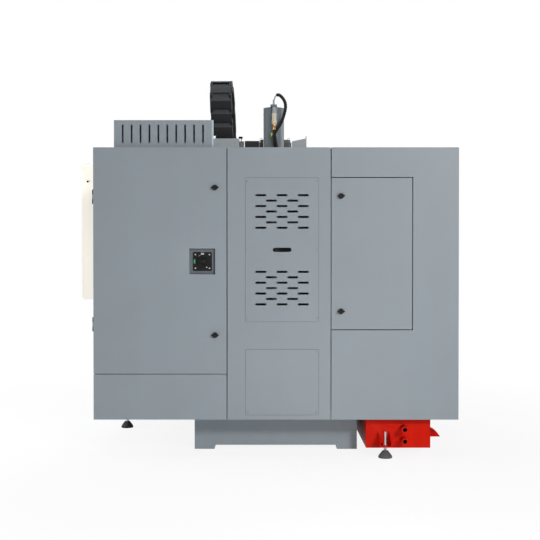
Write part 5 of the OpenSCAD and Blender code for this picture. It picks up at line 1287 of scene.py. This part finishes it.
# Each block on a device has its inset in X, its heights, its depths from the face and its edge radius.
DRIVE_FRONT = 4, (1120, 1365), (-3, 6), 3
DRIVE_FINS = [(12, (z, z + 4), (4, 8), 1.5) for z in range(1345, 1291, -9)]
DRIVE_WINDOW = 16, (1245, 1272), (4, 7), 1.2
CONTACTOR_FACE = 3, (904, 962), (-2, 7), 2.5
CONTACTOR_KEY = 16, (924, 942), (5, 11), 1.5
TERMINAL = 0, (1058, 1082), (-2, 7), 1.2
TERMINALS, TERMINAL_X, TERMINAL_STEP, TERMINAL_W = 4, 10, 15, 12
POLES, POLE_X, POLE_STEP = 3, 10, 14
# Wires run in a plane of their own: points of Y and Z from a terminal into the duct.
DRIVE_WIRE = [(DRIVE_Y + 6, 1066), (DRIVE_Y + 14, 1058), (DRIVE_Y + 4, 1042), (640, 1034), (612, 1026)]
POLE_WIRE = [(CONTACTOR_Y - 6, 976), (CONTACTOR_Y - 4, 984), (622, 990), (612, 1000)]
DRIVE_WIRE_R, POLE_WIRE_R = 1.9, 1.6
DUCT_RIBS = [(0, heights, (-2, 1.5), 0.7) for heights in ((461, 500), (993, 1032))]
RIB_XS, RIB_W = np.arange(300, 780, 12), 6


def on_device(x, width, y, inset, heights, depths, radius):
    """A block on the face of a device at x with a width, with the face at y."""
    low = (x + inset, y + depths[0], heights[0])
    return block(low, (x + width - inset, y + depths[1], heights[1]), radius)


def wire(x, points, radius, count):
    """A smooth tube through points of Y and Z in one plane."""
    return tube(smooth_path([(x, y, z) for y, z in points], count), radius, sides=8)


fronts, windows, terminals, wires, faces = [], [], [], [], []
for x in DRIVE_X + DRIVE_STEP * np.arange(DRIVES):
    fronts += [on_device(x, DRIVE_W, DRIVE_Y, *values) for values in (DRIVE_FRONT, *DRIVE_FINS)]
    windows.append(on_device(x, DRIVE_W, DRIVE_Y, *DRIVE_WINDOW))
    for terminal_x in x + TERMINAL_X + TERMINAL_STEP * np.arange(TERMINALS):
        terminals.append(on_device(terminal_x, TERMINAL_W, DRIVE_Y, *TERMINAL))
        wires.append(wire(terminal_x + TERMINAL_W / 2, DRIVE_WIRE, DRIVE_WIRE_R, count=24))
for x in DRIVE_X + CONTACTOR_STEP * np.arange(CONTACTORS):
    for values in (CONTACTOR_FACE, CONTACTOR_KEY):
        faces.append(on_device(x, CONTACTOR_W, CONTACTOR_Y, *values))
    for pole_x in x + POLE_X + POLE_STEP * np.arange(POLES):
        wires.append(wire(pole_x, POLE_WIRE, POLE_WIRE_R, count=18))
ribs = [on_device(x, RIB_W, DUCT_Y, *values) for values in DUCT_RIBS for x in RIB_XS]
terminal_green = moulded("terminal_green", (0.03, 0.30, 0.10), 0.45)
wire_blue = moulded("wire_blue", (0.02, 0.05, 0.28), 0.4)
make_piece("drive_fronts", fronts, "motor_black", MACHINE)
make_piece("drive_windows", windows, "screen_dark", MACHINE)
make_piece("drive_terminals", terminals, "start_green", MACHINE, terminal_green)
make_piece("cabinet_wires", wires, "cable_black", MACHINE, wire_blue)
make_piece("duct_ribs", ribs, "pale_plastic", MACHINE)
make_piece("contactor_faces", faces, "knob_black", MACHINE)
print("cabinet:", len(fronts), "drive parts,", len(wires), "wires")

# %% [markdown]
# The lubrication unit behind the access door gets a pressure gauge, the spindle motor a fan guard of wire
# rings, and the tank's pipe stubs a black lining, painted as the shade inside their open mouths. The tank's
# lug
# is pressed from sheet: its top is rounded over like a spout, so a section with that curve is drawn out over
# the construction's plain wedge.

# %% Gauge, fan guard, painted shade in the pipe mouths, and spout
GAUGE_Z = 55 * MM
GAUGE_ROWS = [(0, -2), (21, -2), (22, 0), (22, 11), (20.5, 13), (19, 13), (18.5, 11), (0, 11)]
DIAL_ROWS = [(0, 10.8), (18.6, 10.8), (18.4, 11.4), (0, 11.4)]
NEEDLE, NEEDLE_R = [(-9, 12, -8), (0, 12, 0), (3, 12, 3)], 0.8
GUARD_RINGS, GUARD_WIRE_R, RING_Z = (18, 32, 46, 60), 1.4, 2
SPOKES, SPOKE_REACH, SPOKE_R, SPOKE_Z = 6, (8, 35, 64), 1.3, 1.2
SPINDLE_Y = -125 * MM
PORTS = [(-600, 758, z) for z in (75, 130)]
SHADE_LINING_ROWS = [(8.6, -60), (9.9, -60), (9.9, -1.5), (8.6, -2.5)]
SPOUT_Y0, SPOUT_Y1 = 472.5 * MM, 523.5 * MM
SPOUT = [
    (-729, 58), (-729, 100), (-750, 99), (-763, 96), (-776, 89.5), (-786, 81), (-795, 69.5), (-802.5, 60),
    (-802.5, 56.5),
]

low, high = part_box("lube_unit")
gauge = np.array(((low.x + high.x) / 2, high.y, low.z + GAUGE_Z))
make_piece("gauge_case", [lathe(GAUGE_ROWS, gauge, REAR, segments=48)], "plug_silver", MACHINE, zinc)
make_piece("gauge_dial", [lathe(DIAL_ROWS, gauge, REAR, segments=48)], "pale_plastic", MACHINE)
make_piece("gauge_needle", [tube(gauge + mm(*NEEDLE), NEEDLE_R, sides=8)], "stop_red", MACHINE)

motor_top = np.array((0, SPINDLE_Y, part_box("spindle_motor")[1].z))
ring_middle, spoke_middle = motor_top + mm(0, 0, RING_Z), motor_top + mm(0, 0, SPOKE_Z)
guard = [torus(ring_middle, UP, radius, GUARD_WIRE_R, around=56, sides=8) for radius in GUARD_RINGS]
for turn in np.arange(SPOKES) * 2 * math.pi / SPOKES:
    spoke = np.outer(mm(*SPOKE_REACH), (math.cos(turn), math.sin(turn), 0))
    guard.append(tube(spoke_middle + spoke, SPOKE_R, sides=8))
make_piece("fan_guard", guard, "motor_black", HEAD)

# The black lining paints the shade inside each open pipe mouth.
shade_linings = [lathe(SHADE_LINING_ROWS, mm(*port), REAR, segments=40, ring=True) for port in PORTS]
make_piece("port_shade_linings", shade_linings, "knob_black", MACHINE)
points, *faces = bar(mm(*SPOUT), SPOUT_Y0, SPOUT_Y1)
make_piece("tank_spout", [(points[:, [1, 0, 2]], *faces)], "tank_red", body_of["coolant_tank"])
print("gauge, fan guard,", len(shade_linings), "linings and spout")
